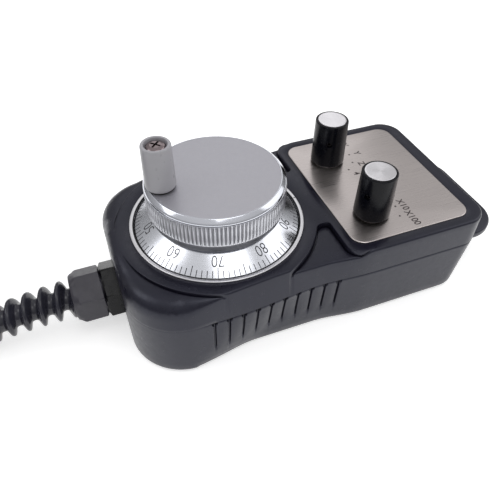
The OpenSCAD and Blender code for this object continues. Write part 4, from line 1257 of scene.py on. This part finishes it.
def panel_plate():
    """The brushed plate, with a bright bevel round its edge and openings for the switches."""
    low, high = PLATE_LOW, PLATE_HIGH
    edge = ((0, low[2]), (0, high[2] - 0.28), (0.05, high[2] - 0.17), (0.28, high[2] - 0.02), (0.4, high[2]))
    skin = Skin()
    first, last = skin.rings([
        lifted(rounded_box(low[:2] + inset, high[:2] - inset, PLATE_CORNER - inset), z) for inset, z in edge])
    uppers, lowers = zip(*(skin.wall(circle(SWITCH_HOLE, 48, at), high[2], low[2]) for at in SWITCHES))
    skin.fill(last, uppers)
    skin.fill(first, lowers)
    return skin


DOT_AWAY, DOT_R, LABEL_H, LABEL_LIFT = 13.3, 0.5, 3.5, 0.02
# Words, direction from the knob in degrees, distance of their middle
AXIS_LABELS = [("OFF", 60, 18), ("X", 30, 18), ("Y", 0, 18), ("Z", -30, 18), ("4", -60, 18)]
RATE_LABELS = [("X1", 30, 18), ("X10", 0, 17.4), ("X100", -30, 19.2)]


def on_plate(x, y):
    """Lettering on the plate reads from the cable end, its tops towards the panel end."""
    return lambda a, b: lifted(np.c_[x + b, y - a], PLATE_TOP + LABEL_LIFT)


def panel_marks():
    skin = Skin()
    for (x, y), labels in zip(SWITCHES, (AXIS_LABELS, RATE_LABELS)):
        for words, degrees, away in labels:
            a = math.radians(degrees)
            place = on_plate(x + away * math.cos(a) - LABEL_H / 2, y + away * math.sin(a))
            lettering(skin, words, LABEL_H, 0.95, place, 0.012)
            dot = (x + DOT_AWAY * math.cos(a), y + DOT_AWAY * math.sin(a))
            skin.faces.append(tuple(skin.ring(lifted(circle(DOT_R, 20, dot), PLATE_TOP + LABEL_LIFT))))
    return skin


# Each cap is turned round its own axis
RATE_CAP = turned("rate_cap", colour(236, 234, 238), 0.22, SWITCHES[1], 9, 0.003, 0.85)
for name, at, grub, aim, cap in (("axis", SWITCHES[0], 240, 60, None),
                                 ("rate", SWITCHES[1], 210, 30, RATE_CAP)):
    body = name + "_selector"
    piece(name + "_knob_body", knob(at, grub), "knob_plastic", body, [name + "_knob"])
    piece(name + "_cap_disc", knob_cap(at), "spun_cap", body, [name + "_knob_cap"], cap)
    white = painted_marks(name + "_white", colour(225, 225, 222))
    piece(name + "_pointer", pointer(at, aim), None, body, material=white)
piece("selector_plate", panel_plate(), "plate_steel", replaces=["panel_plate"], sharp=20)
piece("panel_lettering", panel_marks(), None, material=painted_marks("panel_ink", colour(58, 48, 50)))


# ---- cable gland ---------------------------------------------------------------------------
GLAND_AF, NUT_L, FLANGE_L = 22.0, 14.0, 7.0
STEM_R, SLEEVE_R, BORE_R, CORD_BORE = 9.3, 8.4, 6.35, 3.9


def hexagonal(across):
    """The radius round a hexagon across its flats, never more than the turned profile's."""
    def shape(angle, r, z):
        flat = across / 2 / np.cos((angle % (math.pi / 3)) - math.pi / 6)
        return np.minimum(r, flat)
    return shape


def gland_flange():
    """The gland's body against the wall, one millimetre wider than its nut."""
    across = GLAND_AF + 1
    corner = across / 2 / math.cos(math.pi / 6)
    bore = SLEEVE_R + 0.05
    return revolve([(bore, 0), (corner, 0), (corner, 0.3), (corner, FLANGE_L - 1.2),
                    (corner - 0.35, FLANGE_L - 0.7), (across / 2 - 0.2, FLANGE_L), (bore, FLANGE_L)],
                   240, shape=hexagonal(across), closed=True)


def gland_nut():
    """The cap nut, with its corners turned off at both ends and a lip round the cable."""
    corner = GLAND_AF / 2 / math.cos(math.pi / 6)
    return revolve([(SLEEVE_R, 0), (GLAND_AF / 2 - 0.2, 0), (corner - 0.25, 0.6), (corner, 1.2),
                    (corner, NUT_L - 3.4), (corner - 0.3, NUT_L - 2.7), (GLAND_AF / 2 + 0.1, NUT_L - 1.1),
                    (GLAND_AF / 2 - 0.6, NUT_L, 0.4), (6.8, NUT_L, 0.3), (BORE_R, NUT_L - 0.6),
                    (BORE_R, NUT_L - 5), (SLEEVE_R, NUT_L - 5)],
                   240, shape=hexagonal(GLAND_AF), closed=True)


def gland_thread():
    """The threaded stem through the wall, and the sleeve under the nut."""
    inner, sleeve_end = -8.6, FLANGE_L + 9
    return revolve([(CORD_BORE, inner), (STEM_R, inner), (STEM_R, 0), (SLEEVE_R, 0), (SLEEVE_R, sleeve_end),
                    (BORE_R, sleeve_end), (BORE_R, FLANGE_L), (CORD_BORE, FLANGE_L)], 96, closed=True)


def along_cable(out):
    """Turns a piece's axis along the cable, this far out from the housing's wall."""
    return (Matrix.Translation(Vector((-CABLE_END - out, 0, GLAND_Z)) * MM)
            @ Matrix.Rotation(math.radians(-90), 4, "Y"))


piece("gland_flange", gland_flange(), "gland_plastic", replaces=["gland_body"], sharp=20,
      place=along_cable(0))
piece("gland_thread", gland_thread(), "gland_plastic", place=along_cable(0))
piece("gland_cap_nut", gland_nut(), "nut_plastic", replaces=["gland_nut"], sharp=20,
      place=along_cable(FLANGE_L))


# ---- floor and light -----------------------------------------------------------------------
FLOOR_HALF, FLOOR_GLOW = 3000, 0.55
# The studio's walls are dimmer than its ceiling
HORIZON_LEVEL, OVERHEAD_LEVEL = 0.2, 0.68
# Name, place, size across, power in watts: each lamp faces the object
LAMPS = [
    ("front", (60, -330, 900), (520, 420), 1.1),
    ("left", (-760, 230, 860), (480, 540), 1.4),
    ("right", (800, -60, 520), (640, 640), 1.3),
    ("back", (350, 950, 700), (700, 400), 0.5),
]
LAMP_AIM = Vector((0, 0, 40)) * MM


def studio_floor():
    """A pale floor that the camera and reflections see as white, with the object's soft shadow."""
    paint = bpy.data.materials.new("floor")
    paint.use_nodes = True
    nodes = Nodes(paint.node_tree)
    rays = nodes.node("LightPath", "Is Camera Ray").node.outputs
    seen = nodes.combined("MAXIMUM", rays["Is Camera Ray"], rays["Is Glossy Ray"])
    nodes.feed(nodes.tree.nodes["Principled BSDF"], {
        "Base Color": (0.9, 0.9, 0.9, 1), "Roughness": 0.9, "Specular IOR Level": 0.1,
        "Emission Color": (1, 1, 1, 1), "Emission Strength": nodes.combined("MULTIPLY", seen, FLOOR_GLOW)})
    half = FLOOR_HALF
    skin = Skin()
    skin.faces = [tuple(skin.ring([(-half, -half, 0), (half, -half, 0), (half, half, 0), (-half, half, 0)]))]
    mesh = skin.mesh("floor")
    mesh.materials.append(paint)
    floor = shown("floor", mesh)


def studio_lights():
    """A white backdrop for the camera, a dimmer studio for everything else, and soft lamps."""
    world = bpy.data.worlds.new("studio")
    world.use_nodes = True
    nodes = Nodes(world.node_tree)
    up = nodes.node("SeparateXYZ", "Z", {"Vector": nodes.node("TexCoord", "Generated")})
    level = nodes.node("MapRange", "Result", {"Value": up, "From Max": 0.8, "To Min": HORIZON_LEVEL,
                                              "To Max": OVERHEAD_LEVEL})
    seen = nodes.node("LightPath", "Is Camera Ray")
    nodes.feed(nodes.tree.nodes["Background"], {
        "Color": (1, 1, 1, 1), "Strength": nodes.combined("MAXIMUM", level, seen)})
    bpy.context.scene.world = world
    for name, at, size, power in LAMPS:
        data = bpy.data.lights.new(name, "AREA")
        data.shape = "RECTANGLE"
        data.size, data.size_y = size[0] * MM, size[1] * MM
        data.energy = power
        lamp = shown(name, data)
        lamp.location = Vector(at) * MM
        lamp.rotation_euler = (LAMP_AIM - lamp.location).to_track_quat("-Z", "Y").to_euler()


studio_floor()
studio_lights()
bpy.context.scene.view_settings.view_transform = "Standard"
